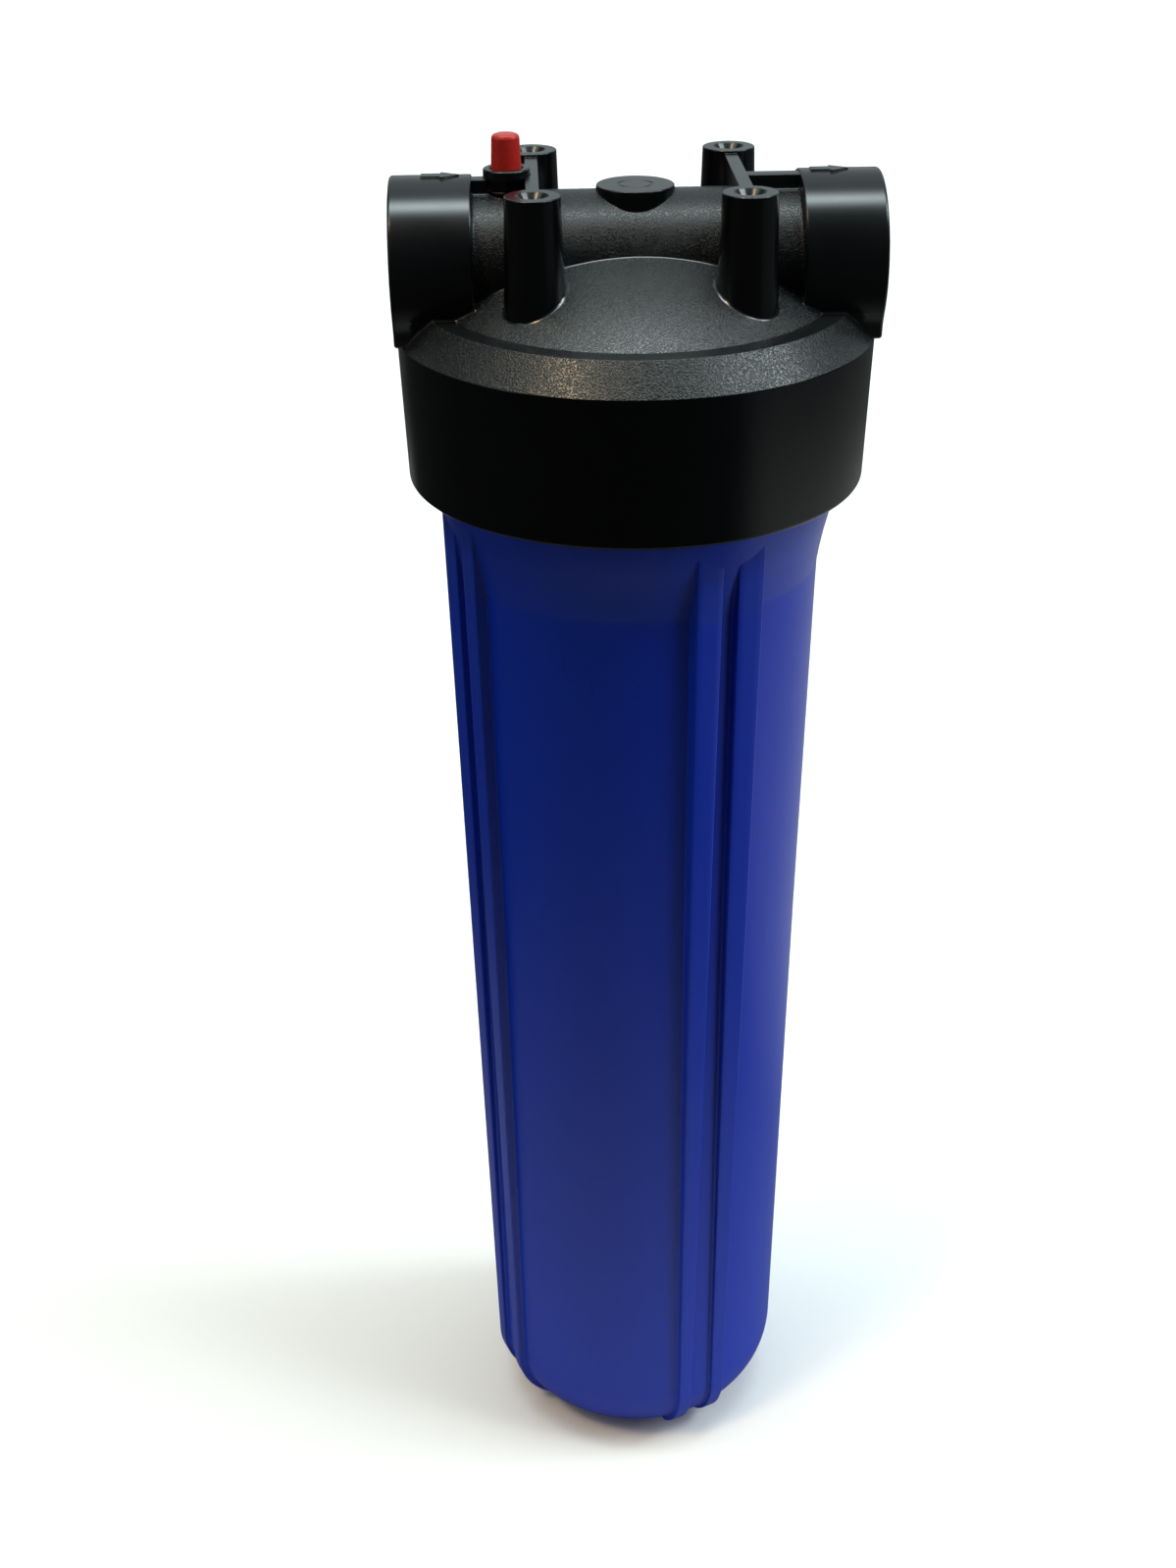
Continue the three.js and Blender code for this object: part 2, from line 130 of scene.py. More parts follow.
class Turned(Solid):
    """A closed profile of (radius, height) turned about an axis.

    It keeps the profile, so that shading normals come from the true curve, not the facets.
    zone names the material zone, or is a function of (radius, height) that does.
    Profile corners sharper than crease degrees stay sharp.
    reshape(radius, angle, height) gives new radii for the vertices.
    """
    def __init__(self, profile, segments, origin=(0, 0, 0), axis=AXIS_Z, zone="smooth",
                 crease=25.0, reshape=None):
        points = [tuple(map(float, point)) for point in profile]
        if signed_area(points) < 0:
            points = points[::-1]
        self.profile = np.array(points)
        self.origin, self.axis, self.segments = np.array(origin, float), axis, segments
        following = np.roll(self.profile, -1, 0)
        if callable(zone):
            self.zones = [zone(*middle) for middle in (self.profile + following) / 2]
        else:
            self.zones = [zone] * len(points)
        self.set_normals(following - self.profile, cos(radians(crease)))
        self.vertices, self.faces = self.build(points, reshape)

    def set_normals(self, edges, crease_cosine):
        """Normals of the profile edges, and their blended values at either end."""
        self.lengths = np.maximum(np.linalg.norm(edges, axis=1), 1e-9)
        self.normals = np.stack([edges[:, 1], -edges[:, 0]], 1) / self.lengths[:, None]
        self.start_normals, self.end_normals = self.normals.copy(), self.normals.copy()
        for i in range(len(edges)):
            if float(self.normals[i] @ self.normals[i - 1]) > crease_cosine:
                blend = (self.normals[i] * self.lengths[i]
                         + self.normals[i - 1] * self.lengths[i - 1])
                blend /= np.linalg.norm(blend)
                self.start_normals[i] = blend
                self.end_normals[i - 1] = blend

    def build(self, points, reshape):
        vertices, rings, faces = [], [], []
        segments = self.segments
        angles = np.arange(segments) * 2 * pi / segments
        for radius, height in points:
            first = len(vertices)
            if radius < 1e-6:
                rings.append([first] * segments)
                vertices.append((0, 0, height))
            else:
                vertices.extend(zip(radius * np.cos(angles), radius * np.sin(angles),
                                    np.full(segments, height)))
                rings.append(list(range(first, first + segments)))
        for i, ring in enumerate(rings):
            after = rings[(i + 1) % len(rings)]
            ring_is_pole, after_is_pole = ring[0] == ring[1], after[0] == after[1]
            if ring_is_pole and after_is_pole:
                continue
            for j in range(segments):
                k = (j + 1) % segments
                if ring_is_pole:
                    faces.append((ring[0], after[k], after[j]))
                elif after_is_pole:
                    faces.append((ring[j], ring[k], after[0]))
                else:
                    faces.append((ring[j], ring[k], after[k], after[j]))
        vertices = np.array(vertices)
        if reshape is not None:
            radius = np.hypot(vertices[:, 0], vertices[:, 1])
            angle = np.arctan2(vertices[:, 1], vertices[:, 0]) % (2 * pi)
            moved = reshape(radius, angle, vertices[:, 2])
            scale = np.where(radius > 1e-6, moved / np.maximum(radius, 1e-6), 1)
            vertices[:, 0] *= scale
            vertices[:, 1] *= scale
        return vertices @ self.axis + self.origin, faces

    def local(self, points):
        """Radius, height and local coordinates of points."""
        own = (points - self.origin) @ self.axis.T
        return np.hypot(own[:, 0], own[:, 1]), own[:, 2], own


def plug(radius, low, high, segments, **options):
    return Turned([(0, low), (radius, low), (radius, high), (0, high)], segments, **options)


def ring_profile(radius, height, section, count):
    return [(radius + section * cos(2 * pi * i / count), height + section * sin(2 * pi * i / count))
            for i in range(count)]


def outward(solid):
    """Flips the faces of a solid that is inside out."""
    volume = 0.0
    for face in solid.faces:
        first = solid.vertices[face[0]]
        for i in range(1, len(face) - 1):
            b, c = solid.vertices[face[i]], solid.vertices[face[i + 1]]
            volume += float(np.dot(first, np.cross(b, c)))
    if volume < 0:
        solid.faces = [tuple(face)[::-1] for face in solid.faces]
    return solid


def prism(outline, axis, start, end):
    """Outline of (a, b) extruded along x, y or z; a and b are the other two axes in order."""
    if signed_area(outline) < 0:
        outline = outline[::-1]
    place = {"x": lambda a, b, s: (s, a, b),
             "y": lambda a, b, s: (a, s, b),
             "z": lambda a, b, s: (a, b, s)}[axis]
    n = len(outline)
    vertices = [place(a, b, s) for s in (start, end) for a, b in outline]
    faces = [tuple(range(n))[::-1], tuple(range(n, 2 * n))]
    faces += [(i, (i + 1) % n, n + (i + 1) % n, n + i) for i in range(n)]
    return outward(Solid(vertices, faces))


def mirrored(solid, side_x, side_y):
    flip = side_x * side_y < 0
    faces = [tuple(face)[::-1] for face in solid.faces] if flip else solid.faces
    return Solid(solid.vertices * np.array([side_x, side_y, 1.0]), faces)


def loft(sections, closed=False):
    """Solid through equally long contours of 3-D points; closed joins the last to the first."""
    sections = np.array(sections, float)
    m, n = sections.shape[:2]
    faces = []
    for i in range(m if closed else m - 1):
        this, following = i * n, ((i + 1) % m) * n
        for j in range(n):
            k = (j + 1) % n
            faces.append((this + j, this + k, following + k, following + j))
    if not closed:
        faces += [tuple(range(n))[::-1], tuple(range((m - 1) * n, m * n))]
    return outward(Solid(sections.reshape(-1, 3), faces))


# ------------------------------------------------------------------ meshes and objects
def new_mesh(name, solid):
    mesh = bpy.data.meshes.new(name)
    mesh.from_pydata([tuple(vertex) for vertex in solid.vertices], [], solid.faces)
    return mesh


def new_object(name, data):
    obj = bpy.data.objects.new(name, data)
    bpy.context.scene.collection.objects.link(obj)
    return obj


def combine(name, base, operations):
    """Mesh of the base after (operation, solid) booleans in turn."""
    target = new_object(name + "_base", new_mesh(name + "_base", base))
    temporary = []
    for k, (operation, solid) in enumerate(operations):
        tool = new_object(f"{name}_op{k}", new_mesh(f"{name}_op{k}", solid))
        modifier = target.modifiers.new(f"op{k}", "BOOLEAN")
        modifier.operation, modifier.solver, modifier.object = operation, "MANIFOLD", tool
        temporary.append(tool)
    depsgraph = bpy.context.evaluated_depsgraph_get()
    mesh = bpy.data.meshes.new_from_object(target.evaluated_get(depsgraph))
    for obj in temporary + [target]:
        data = obj.data
        bpy.data.objects.remove(obj)
        bpy.data.meshes.remove(data)
    if len(mesh.polygons) < 100:
        raise RuntimeError(f"{name}: the boolean gave nothing")
    mesh.name = name
    return mesh


def read_vectors(items, attribute):
    data = np.zeros(len(items) * 3, np.float32)
    items.foreach_get(attribute, data)
    return data.reshape(-1, 3).astype(float)


def read_integers(items, attribute):
    data = np.zeros(len(items), np.int32)
    items.foreach_get(attribute, data)
    return data


def match_faces(turned, centres, face_normals):
    """Index of the turned solid and profile edge each face lies on, -1 where there is none."""
    nearest = np.full(len(centres), 0.05)
    solid_of = np.full(len(centres), -1)
    edge_of = np.full(len(centres), -1)
    for number, solid in enumerate(turned):
        radius, height, own = solid.local(centres)
        low, high = solid.profile[:, 1].min() - 0.1, solid.profile[:, 1].max() + 0.1
        inside = (radius < solid.profile[:, 0].max() + 0.1) & (height > low) & (height < high)
        near = np.nonzero(inside)[0]
        if not len(near):
            continue
        radius, height, own = radius[near], height[near], own[near]
        radial = own[:, :2] / np.maximum(radius, 1e-9)[:, None]
        normal = face_normals[near] @ solid.axis.T
        normal_radial = normal[:, 0] * radial[:, 0] + normal[:, 1] * radial[:, 1]
        for edge in range(len(solid.profile)):
            a, b = solid.profile[edge], solid.profile[(edge + 1) % len(solid.profile)]
            d = b - a
            t = ((radius - a[0]) * d[0] + (height - a[1]) * d[1]) / solid.lengths[edge] ** 2
            t = np.clip(t, 0, 1)
            distance = np.hypot(radius - a[0] - d[0] * t, height - a[1] - d[1] * t)
            # a facet's middle lies inside the true circle by the sagitta
            sagitta = a[0] * (1 - cos(pi / solid.segments)) + 0.012
            edge_normal = solid.normals[edge]
            agreement = normal_radial * edge_normal[0] + normal[:, 2] * edge_normal[1]
            fits = (np.abs(agreement) > 0.985) & (distance < sagitta + 0.02)
            fits &= distance < nearest[near]
            if fits.any():
                hit = near[fits]
                nearest[hit] = distance[fits]
                solid_of[hit] = number
                edge_of[hit] = edge
    return solid_of, edge_of


def curve_normals(solid, edges, points, face_normals):
    """Normals of the true turned surface, and a mask of those that agree with their faces."""
    radius, height, own = solid.local(points)
    a = solid.profile[edges]
    d = solid.profile[(edges + 1) % len(solid.profile)] - a
    t = (radius - a[:, 0]) * d[:, 0] + (height - a[:, 1]) * d[:, 1]
    t = np.clip(t / solid.lengths[edges] ** 2, 0, 1)[:, None]
    flat = solid.start_normals[edges] * (1 - t) + solid.end_normals[edges] * t
    flat /= np.linalg.norm(flat, axis=1)[:, None]
    radius = np.maximum(radius, 1e-9)
    world = np.stack([flat[:, 0] * own[:, 0] / radius, flat[:, 0] * own[:, 1] / radius,
                      flat[:, 1]], 1) @ solid.axis
    sign = np.sign(np.sum(world * face_normals, 1))
    sign[sign == 0] = 1
    world *= sign[:, None]
    return world, np.sum(world * face_normals, 1) > 0.8


def finish_mesh(name, mesh, turned, materials, body, replaces, sharp=32.0, rest=None):
    """Object with materials and shading normals from its turned solids, riding on a body.

    materials maps zones to materials, the first taking faces of no listed zone.
    rest(centre) gives the zone of a face that lies on no turned solid.
    """
    points = read_vectors(mesh.vertices, "co")
    centres = read_vectors(mesh.polygons, "center")
    face_normals = read_vectors(mesh.polygons, "normal")
    loop_vertex = read_integers(mesh.loops, "vertex_index")
    loop_face = np.repeat(np.arange(len(centres)), read_integers(mesh.polygons, "loop_total"))
    solid_of, edge_of = match_faces(turned, centres, face_normals)

    # loops left at zero keep the automatic normal
    normals = np.zeros((len(loop_vertex), 3))
    for number, solid in enumerate(turned):
        loops = np.nonzero(solid_of[loop_face] == number)[0]
        if not len(loops):
            continue
        faces = loop_face[loops]
        found, good = curve_normals(solid, edge_of[faces], points[loop_vertex[loops]],
                                    face_normals[faces])
        normals[loops[good]] = found[good]

    mesh.materials.clear()
    for material in materials.values():
        mesh.materials.append(material)
    zone_names = list(materials)
    indices = np.zeros(len(centres), np.int32)
    for face, (number, edge) in enumerate(zip(solid_of, edge_of)):
        zone = None
        if number >= 0:
            zone = turned[number].zones[edge]
        elif rest:
            zone = rest(centres[face])
        indices[face] = zone_names.index(zone) if zone in zone_names else 0

    lift = Matrix.Translation((0, 0, BEVEL_BASE * 0.001))
    mesh.transform(lift @ Matrix.Scale(0.001, 4))
    mesh.polygons.foreach_set("material_index", indices)
    mesh.polygons.foreach_set("use_smooth", np.ones(len(centres), bool))
    mesh.set_sharp_from_angle(angle=radians(sharp))
    mesh.normals_split_custom_set([tuple(normal) for normal in normals])
    obj = new_object(name, mesh)
    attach(obj, body)
    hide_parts(replaces)
    return obj


def piece(name, solid, material, body, replaces, sharp=32.0):
    turned = [solid] if isinstance(solid, Turned) else []
    return finish_mesh(name, new_mesh(name, solid), turned, {"smooth": material},
                       body, replaces, sharp)


# ------------------------------------------------------------------ node building
class Nodes:
    """Adds nodes to a tree; an input takes a value or an output socket."""
    def __init__(self, tree):
        self.tree = tree
        tree.nodes.clear()

    def fill(self, node, inputs):
        for key, value in inputs.items():
            if isinstance(value, bpy.types.NodeSocket):
                self.tree.links.new(value, node.inputs[key])
            else:
                node.inputs[key].default_value = value

    def add(self, kind, inputs=None, **properties):
        node = self.tree.nodes.new(kind)
        for key, value in properties.items():
            setattr(node, key, value)
        self.fill(node, inputs or {})
        return node

    def math(self, operation, *values):
        node = self.add("ShaderNodeMath", dict(enumerate(values)), operation=operation)
        return node.outputs["Value"]

    def map_range(self, value, from_min, from_max, to_min=0.0, to_max=1.0, kind="SMOOTHSTEP"):
        inputs = {"Value": value, "From Min": from_min, "From Max": from_max,
                  "To Min": to_min, "To Max": to_max}
        node = self.add("ShaderNodeMapRange", inputs, interpolation_type=kind)
        return node.outputs["Result"]


class Material(Nodes):
    def __init__(self, name):
        self.material = bpy.data.materials.new(name)
        self.material.use_nodes = True
        super().__init__(self.material.node_tree)
        self.bsdf = self.add("ShaderNodeBsdfPrincipled")
        self.add("ShaderNodeOutputMaterial", {"Surface": self.bsdf.outputs["BSDF"]})
        self.position = self.add("ShaderNodeTexCoord").outputs["Object"]

    def surface(self, **inputs):
        """Sets inputs of the surface shader; underscores stand for spaces."""
        self.fill(self.bsdf, {key.replace("_", " "): value for key, value in inputs.items()})

    def noise(self, scale, detail=2.0, roughness=0.5, distortion=0.0, stretch=None,
              offset=(0, 0, 0)):
        vector = self.position
        if stretch or offset != (0, 0, 0):
            inputs = {"Vector": vector, "Scale": stretch or (1, 1, 1), "Location": offset}
            vector = self.add("ShaderNodeMapping", inputs).outputs["Vector"]
        inputs = {"Scale": scale, "Detail": detail, "Roughness": roughness,
                  "Distortion": distortion, "Vector": vector}
        return self.add("ShaderNodeTexNoise", inputs).outputs["Fac"]

    def ramp(self, factor, *stops):
        """Grey ramp through stops of (position, level)."""
        node = self.add("ShaderNodeValToRGB", {"Fac": factor})
        elements = node.color_ramp.elements
        while len(elements) < len(stops):
            elements.new(1.0)
        for element, (position, level) in zip(elements, stops):
            element.position = position
            element.color = (level, level, level, 1)
        return node.outputs["Color"]

    def mix(self, factor, first, second):
        """Colour mix; the colour inputs are 6 and 7 and the colour output is 2."""
        node = self.add("ShaderNodeMix", {0: factor}, data_type="RGBA")
        for key, colour in ((6, first), (7, second)):
            if isinstance(colour, bpy.types.NodeSocket):
                self.fill(node, {key: (0, 0, 0, 1)})
                self.fill(node, {key: colour})
            else:
                self.fill(node, {key: (*colour, 1)})
        return node.outputs[2]

    def soften_edges(self, radius):
        """Starts the normal chain with shading that rounds sharp edges."""
        self.normal = self.add("ShaderNodeBevel", {"Radius": radius}, samples=4).outputs["Normal"]

    def bump(self, height, strength, distance):
        """Adds a bump to the end of the normal chain."""
        inputs = {"Height": height, "Strength": strength, "Distance": distance,
                  "Normal": self.normal}
        self.normal = self.add("ShaderNodeBump", inputs).outputs["Normal"]
        self.surface(Normal=self.normal)


# ------------------------------------------------------------------ materials
def black_plastic(name, rough, specular=0.5, base=(0.0045, 0.0050, 0.0056), grain=None):
    """rough is the roughness range; grain is (noise scale, depth in metres) of leather grain."""
    m = Material(name)
    blotches = m.noise(scale=26, detail=3, roughness=0.6)
    roughness = m.ramp(blotches, (0.3, rough[0]), (0.7, rough[1]))
    m.surface(Base_Color=m.mix(blotches, base, tuple(level * 1.5 for level in base)),
              Specular_IOR_Level=specular)
    m.soften_edges(radius=0.0005)
    if grain:
        # short raised worms with tight valleys, over a finer stipple
        scale, depth = grain
        worms = m.noise(scale=scale, detail=1.5, distortion=0.35)
        crease = m.ramp(worms, (0.38, 0.0), (0.48, 0.70), (0.60, 1.0))
        stipple = m.noise(scale=scale * 2.3, detail=1.0, offset=(0.3, 0.1, 0.2))
        m.bump(crease, strength=1.0, distance=depth)
        m.bump(stipple, strength=0.5, distance=depth * 0.5)
        # the valleys are up to 0.10 rougher than the worms
        valleys = m.math("MULTIPLY_ADD", crease, -0.10, 0.10)
        roughness = m.math("ADD", roughness, valleys)
    else:
        fine = m.noise(scale=420)
        scuffs = m.noise(scale=700, roughness=0.6, stretch=(0.05, 1, 1), offset=(0.11, 0.2, 0.3))
        m.bump(fine, strength=0.03, distance=0.0002)
        m.bump(scuffs, strength=0.05, distance=0.00012)
    m.surface(Roughness=roughness)
    m.bump(m.noise(scale=14, detail=1, roughness=0.4), strength=0.05, distance=0.002)
    return m.material


head_bevel = black_plastic("head_plastic_grained", rough=(0.22, 0.28), specular=0.42,
                           grain=(1500, 0.000115))
head_dome = black_plastic("head_plastic_dome_grain", rough=(0.18, 0.24), grain=(1900, 0.00010))
head_tube = black_plastic("head_plastic_tube_grain", rough=(0.22, 0.29), specular=0.35,
                          grain=(1700, 0.00008))
head_edge = black_plastic("head_plastic_fillet", rough=(0.13, 0.17), specular=0.75)
head_ledge = black_plastic("head_plastic_ledge", rough=(0.24, 0.30), specular=0.26)
# head_smooth, head_boss and head_skirt are the same moulded plastic as the rest of the head, with
# darker base colours as painted shade on the upright faces of collars, bosses and skirt
head_smooth = black_plastic("head_plastic_smooth", rough=(0.19, 0.25), specular=0.44,
                            base=(0.0025, 0.0030, 0.0036))
head_boss = black_plastic("head_plastic_boss", rough=(0.20, 0.26),
                          base=(0.0010, 0.0012, 0.0016))
head_skirt = black_plastic("head_plastic_skirt", rough=(0.20, 0.26), specular=0.40,
                           base=(0.0008, 0.0010, 0.0016))
head_inside = black_plastic("head_plastic_inside", rough=(0.36, 0.46), specular=0.35)


def sump_material():
    m = Material("sump_plastic_blue")
    blotches = m.noise(scale=9, detail=3, roughness=0.55, stretch=(1, 1, 0.35))
    streaks = m.noise(scale=60, stretch=(1, 1, 0.06), offset=(0.2, 0.4, 0))
    blue = m.mix(blotches, (0.0014, 0.0210, 0.325), (0.0022, 0.0250, 0.365))
    # the band above the taper's break, where the flare faces upwards, is painted a touch greyer:
    # painted reflection of the light above
    axes = m.add("ShaderNodeSeparateXYZ", {"Vector": m.position})
    band = m.map_range(axes.outputs["Z"], from_min=(BEVEL_BASE - 94.5) / 1000,
                       from_max=(BEVEL_BASE - 92.5) / 1000, kind="LINEAR")
    colour = m.mix(m.math("MULTIPLY", band, 0.55), blue, (0.0060, 0.0290, 0.300))
    m.surface(Base_Color=colour, Roughness=m.ramp(blotches, (0.3, 0.27), (0.7, 0.34)),
              Specular_IOR_Level=0.5)
    m.soften_edges(radius=0.0005)
    m.bump(m.noise(scale=650), strength=0.05, distance=0.00012)
    m.bump(streaks, strength=0.06, distance=0.0006)
    return m.material


sump_blue = sump_material()


def mottled(name, dark, light, rough, scale=300, bump=(0.1, 0.0001), edge=0.0003,
            metal=0.0, specular=0.5, stretch=None, sheen=0.0, subsurface=0.0):
    """Two close colours in noise; bump is (strength, distance), edge a softening radius."""
    m = Material(name)
    fine = m.noise(scale=scale, detail=3, roughness=0.55, stretch=stretch)
    broad = m.noise(scale=scale / 9.0, offset=(0.7, 0.2, 0.4))
    average = m.math("MULTIPLY", m.math("ADD", fine, broad), 0.5)
    roughness = m.ramp(fine, (0.3, rough * 0.9), (0.7, min(1, rough * 1.12)))
    m.surface(Base_Color=m.mix(average, dark, light), Roughness=roughness, Metallic=metal,
              Specular_IOR_Level=specular, Sheen_Weight=sheen)
    if subsurface:
        m.surface(Subsurface_Weight=subsurface, Subsurface_Radius=(0.004, 0.001, 0.0008))
    m.soften_edges(radius=edge)
    m.bump(fine, strength=bump[0], distance=bump[1])
    return m.material


rubber = mottled("seal_rubber_black", (0.012, 0.012, 0.013), (0.022, 0.022, 0.022), rough=0.55,
                 scale=700, bump=(0.12, 0.0001), specular=0.4)
button_red = mottled("button_plastic_red", (0.36, 0.013, 0.011), (0.43, 0.021, 0.015),
                     rough=0.28, scale=500, bump=(0.05, 0.00008), subsurface=0.12)
pale_rubber = mottled("gasket_rubber_pale", (0.62, 0.60, 0.52), (0.72, 0.70, 0.63), rough=0.7,
                      scale=600)
cap_blue = mottled("cap_plastisol_blue", (0.012, 0.080, 0.36), (0.020, 0.11, 0.43), rough=0.5,
                   scale=240)
core_white = mottled("core_plastic_white", (0.70, 0.71, 0.72), (0.80, 0.81, 0.81), rough=0.42,
                     scale=200)
paper = mottled("pleat_paper", (0.74, 0.72, 0.65), (0.86, 0.85, 0.80), rough=0.85, scale=900,
                bump=(0.35, 0.00012), sheen=0.15, stretch=(1, 1, 0.4))
band_white = mottled("band_fabric_white", (0.78, 0.78, 0.76), (0.88, 0.88, 0.86), rough=0.8,
                     scale=1500, bump=(0.3, 0.0001))
steel = mottled("stem_steel_turned", (0.52, 0.53, 0.55), (0.62, 0.63, 0.65), rough=0.28,
                metal=1.0, bump=(0.04, 0.00005), stretch=(1, 1, 12))

# ------------------------------------------------------------------ head: domed body
BODY_SEGMENTS = 224
DOME_CENTRE_Z, DOME_R, DOME_WALL = -91.0, 126.5, 7
LEDGE_R, LEDGE_Z = 74.3, 11.4                  # where the dome meets the flat ledge
BEVEL_TOP_R, HEAD_R = 82.3, 92.4
SKIRT_R, SKIRT_Z = 90.5, -57.0


def dome_z(radius, wall=0.0):
    return DOME_CENTRE_Z + sqrt((DOME_R - wall) ** 2 - radius * radius)


def body_zone(radius, height):
    if height > LEDGE_Z + 0.02 and radius < LEDGE_R + 0.1:
        return "dome"
    if height > LEDGE_Z - 0.05:
        return "ledge"
    if height > 0.3 and radius > BEVEL_TOP_R:
        return "bevel"
    return "skirt"


dome_line = [(radius, dome_z(radius)) for radius in np.linspace(0, LEDGE_R, 36)[:-1]]
head_rim = rounded([(LEDGE_R, LEDGE_Z), (BEVEL_TOP_R, LEDGE_Z, 0.5), (HEAD_R, 0.0, 0.7),
                    (SKIRT_R, SKIRT_Z, 2.0), (0, SKIRT_Z)], 5)
head_body = Turned(dome_line + head_rim, BODY_SEGMENTS, zone=body_zone)

# ------------------------------------------------------------------ head: cavity and thread
MALE_ROOT_R, MALE_CREST_R = 78.2, 81.3
FEMALE_CREST_R, FEMALE_ROOT_R = 79.0, 82.1
THREAD_PITCH, THREAD_START_Z, THREAD_ROW = 9.0, -50.9, 0.45


def thread_height(angle, z, turns, foot_half, top_half, run_out):
    """0 to 1 height of a right-hand ridge, from its half-widths at the foot and the top.

    run_out is the share of a turn over which the ridge rises at either end."""
    height = np.zeros_like(z)
    for k in range(-1, 6):
        turn = angle / (2 * pi) + k
        away = np.abs(z - (THREAD_START_Z + THREAD_PITCH * turn))
        flank = np.clip((foot_half - away) / (foot_half - top_half), 0, 1)
        flank = flank * flank * (3 - 2 * flank) * 0.5 + flank * 0.5
        ridge = flank * np.clip(np.minimum(turn, turns - turn) / run_out, 0, 1)
        height = np.maximum(height, ridge)
    return height


def female_thread(radius, angle, z):
    height = thread_height(angle, z, turns=3.375, foot_half=2.87, top_half=1.75, run_out=0.12)
    cut = FEMALE_CREST_R + (FEMALE_ROOT_R - FEMALE_CREST_R) * height
    return np.where(np.abs(radius - FEMALE_CREST_R) < 0.02, cut, radius)


# lip, internal thread, sealing land, chamber
cavity_profile = [(0, SKIRT_Z - 1), (82.9, SKIRT_Z - 1), (82.9, SKIRT_Z - 0.01),
                  (82.3, SKIRT_Z + 0.6), (82.3, -46.2), (81.2, -45.6)]
cavity_profile += [(FEMALE_CREST_R, z) for z in np.arange(-45.6, -17.0, THREAD_ROW)[1:]]
cavity_profile += [(FEMALE_CREST_R, -13.7), (69.6, -13.7), (69.0, -13.1)]
cavity_profile += [(radius, dome_z(radius, DOME_WALL)) for radius in np.linspace(68.6, 0, 16)]
cavity = Turned(cavity_profile, 192, zone="inner", reshape=female_thread)

# ------------------------------------------------------------------ head: tube and port collars
TUBE_Z, TUBE_R, TUBE_FILLET = 26.2, 26.0, 1.3
COLLAR_R, COLLAR_X = 32.0, 61.5                # COLLAR_X is the collar's inner face
COLLAR_HALF_Y, COLLAR_BOTTOM_Z, COLLAR_FOOT_R = 25.4, 0.3, 1.5
COLLAR_INNER_EDGE_R, COLLAR_END_EDGE_R = 0.7, 1.2
PORT_AXIS = {"origin": (0, 0, TUBE_Z), "axis": AXIS_X}

# cross tube, with small fillets where it runs into the collars
half_tube = [(TUBE_R, 0.0), (TUBE_R, COLLAR_X - TUBE_FILLET)]
half_tube += [(TUBE_R + TUBE_FILLET - TUBE_FILLET * cos(t),
               COLLAR_X - TUBE_FILLET + TUBE_FILLET * sin(t))
              for t in np.linspace(0, pi / 2, 6)[1:]]
half_tube += [(TUBE_R + TUBE_FILLET, COLLAR_X + 2.0), (0.0, COLLAR_X + 2.0)]
cross_tube = Turned([(radius, -x) for radius, x in half_tube[::-1]][:-1] + half_tube, 160,
                    zone=lambda radius, x: "tube" if abs(x) < COLLAR_X else "smooth",
                    **PORT_AXIS)

# (y, z) where the collar's round top runs down into its upright wall
COLLAR_WAIST = [
    (28.35, 11.35), (27.85, 10.2), (27.25, 9.0), (26.7, 7.9), (26.25, 6.8), (25.9, 5.6),
    (25.62, 4.4), (25.45, 3.2), (COLLAR_HALF_Y, 2.2)]


def collar_half_outline():
    """+Y half of the collar's outline (y, z), from the top to the middle of its flat foot."""
    half = [(COLLAR_R * cos(t), TUBE_Z + COLLAR_R * sin(t))
            for t in np.radians(np.arange(90, -26.1, -2.0))]
    half += COLLAR_WAIST
    flat = COLLAR_HALF_Y - COLLAR_FOOT_R
    half += [(flat + COLLAR_FOOT_R * cos(t), COLLAR_BOTTOM_Z + COLLAR_FOOT_R
              + COLLAR_FOOT_R * sin(t)) for t in np.linspace(0, -pi / 2, 7)]
    half += [(flat - flat * k / 6, COLLAR_BOTTOM_Z) for k in range(1, 7)]
    return np.array(half)


def outline_normals(outline):
    d = np.roll(outline, -1, 0) - outline
    normals = np.stack([-d[:, 1], d[:, 0]], 1) / np.linalg.norm(d, axis=1)[:, None]
    blended = normals + np.roll(normals, 1, 0)
    return blended / np.linalg.norm(blended, axis=1)[:, None]


collar_half = collar_half_outline()
collar_outline = np.concatenate([collar_half, (collar_half * [-1, 1])[::-1][1:-1]])
collar_normals = outline_normals(collar_outline)


def collar(side):
    """Loft along X of the outline, drawn in where the two end edges are rounded."""
    edge, end_edge = COLLAR_INNER_EDGE_R, COLLAR_END_EDGE_R
    stations = [(COLLAR_X + edge - edge * cos(t), edge - edge * sin(t))
                for t in np.linspace(0, pi / 2, 6)]
    stations += [(COLLAR_X + 10, 0.0), (COLLAR_X + 20, 0.0)]
    stations += [(PORT_END_X - end_edge + end_edge * sin(t), end_edge - end_edge * cos(t))
                 for t in np.linspace(0, pi / 2, 7)]
    return loft([[(side * x, y, z) for y, z in collar_outline - collar_normals * inset]
                 for x, inset in stations])


def collar_surface(side):
    """The collar's round part as a turned solid, used for its shading only."""
    profile = rounded([(0, COLLAR_X), (COLLAR_R, COLLAR_X, COLLAR_INNER_EDGE_R),
                       (COLLAR_R, PORT_END_X, COLLAR_END_EDGE_R), (0, PORT_END_X)], 6)
    return Turned([(radius, side * x) for radius, x in profile], 180, **PORT_AXIS)


collars = [collar(side) for side in SIDES]
collar_surfaces = [collar_surface(side) for side in SIDES]

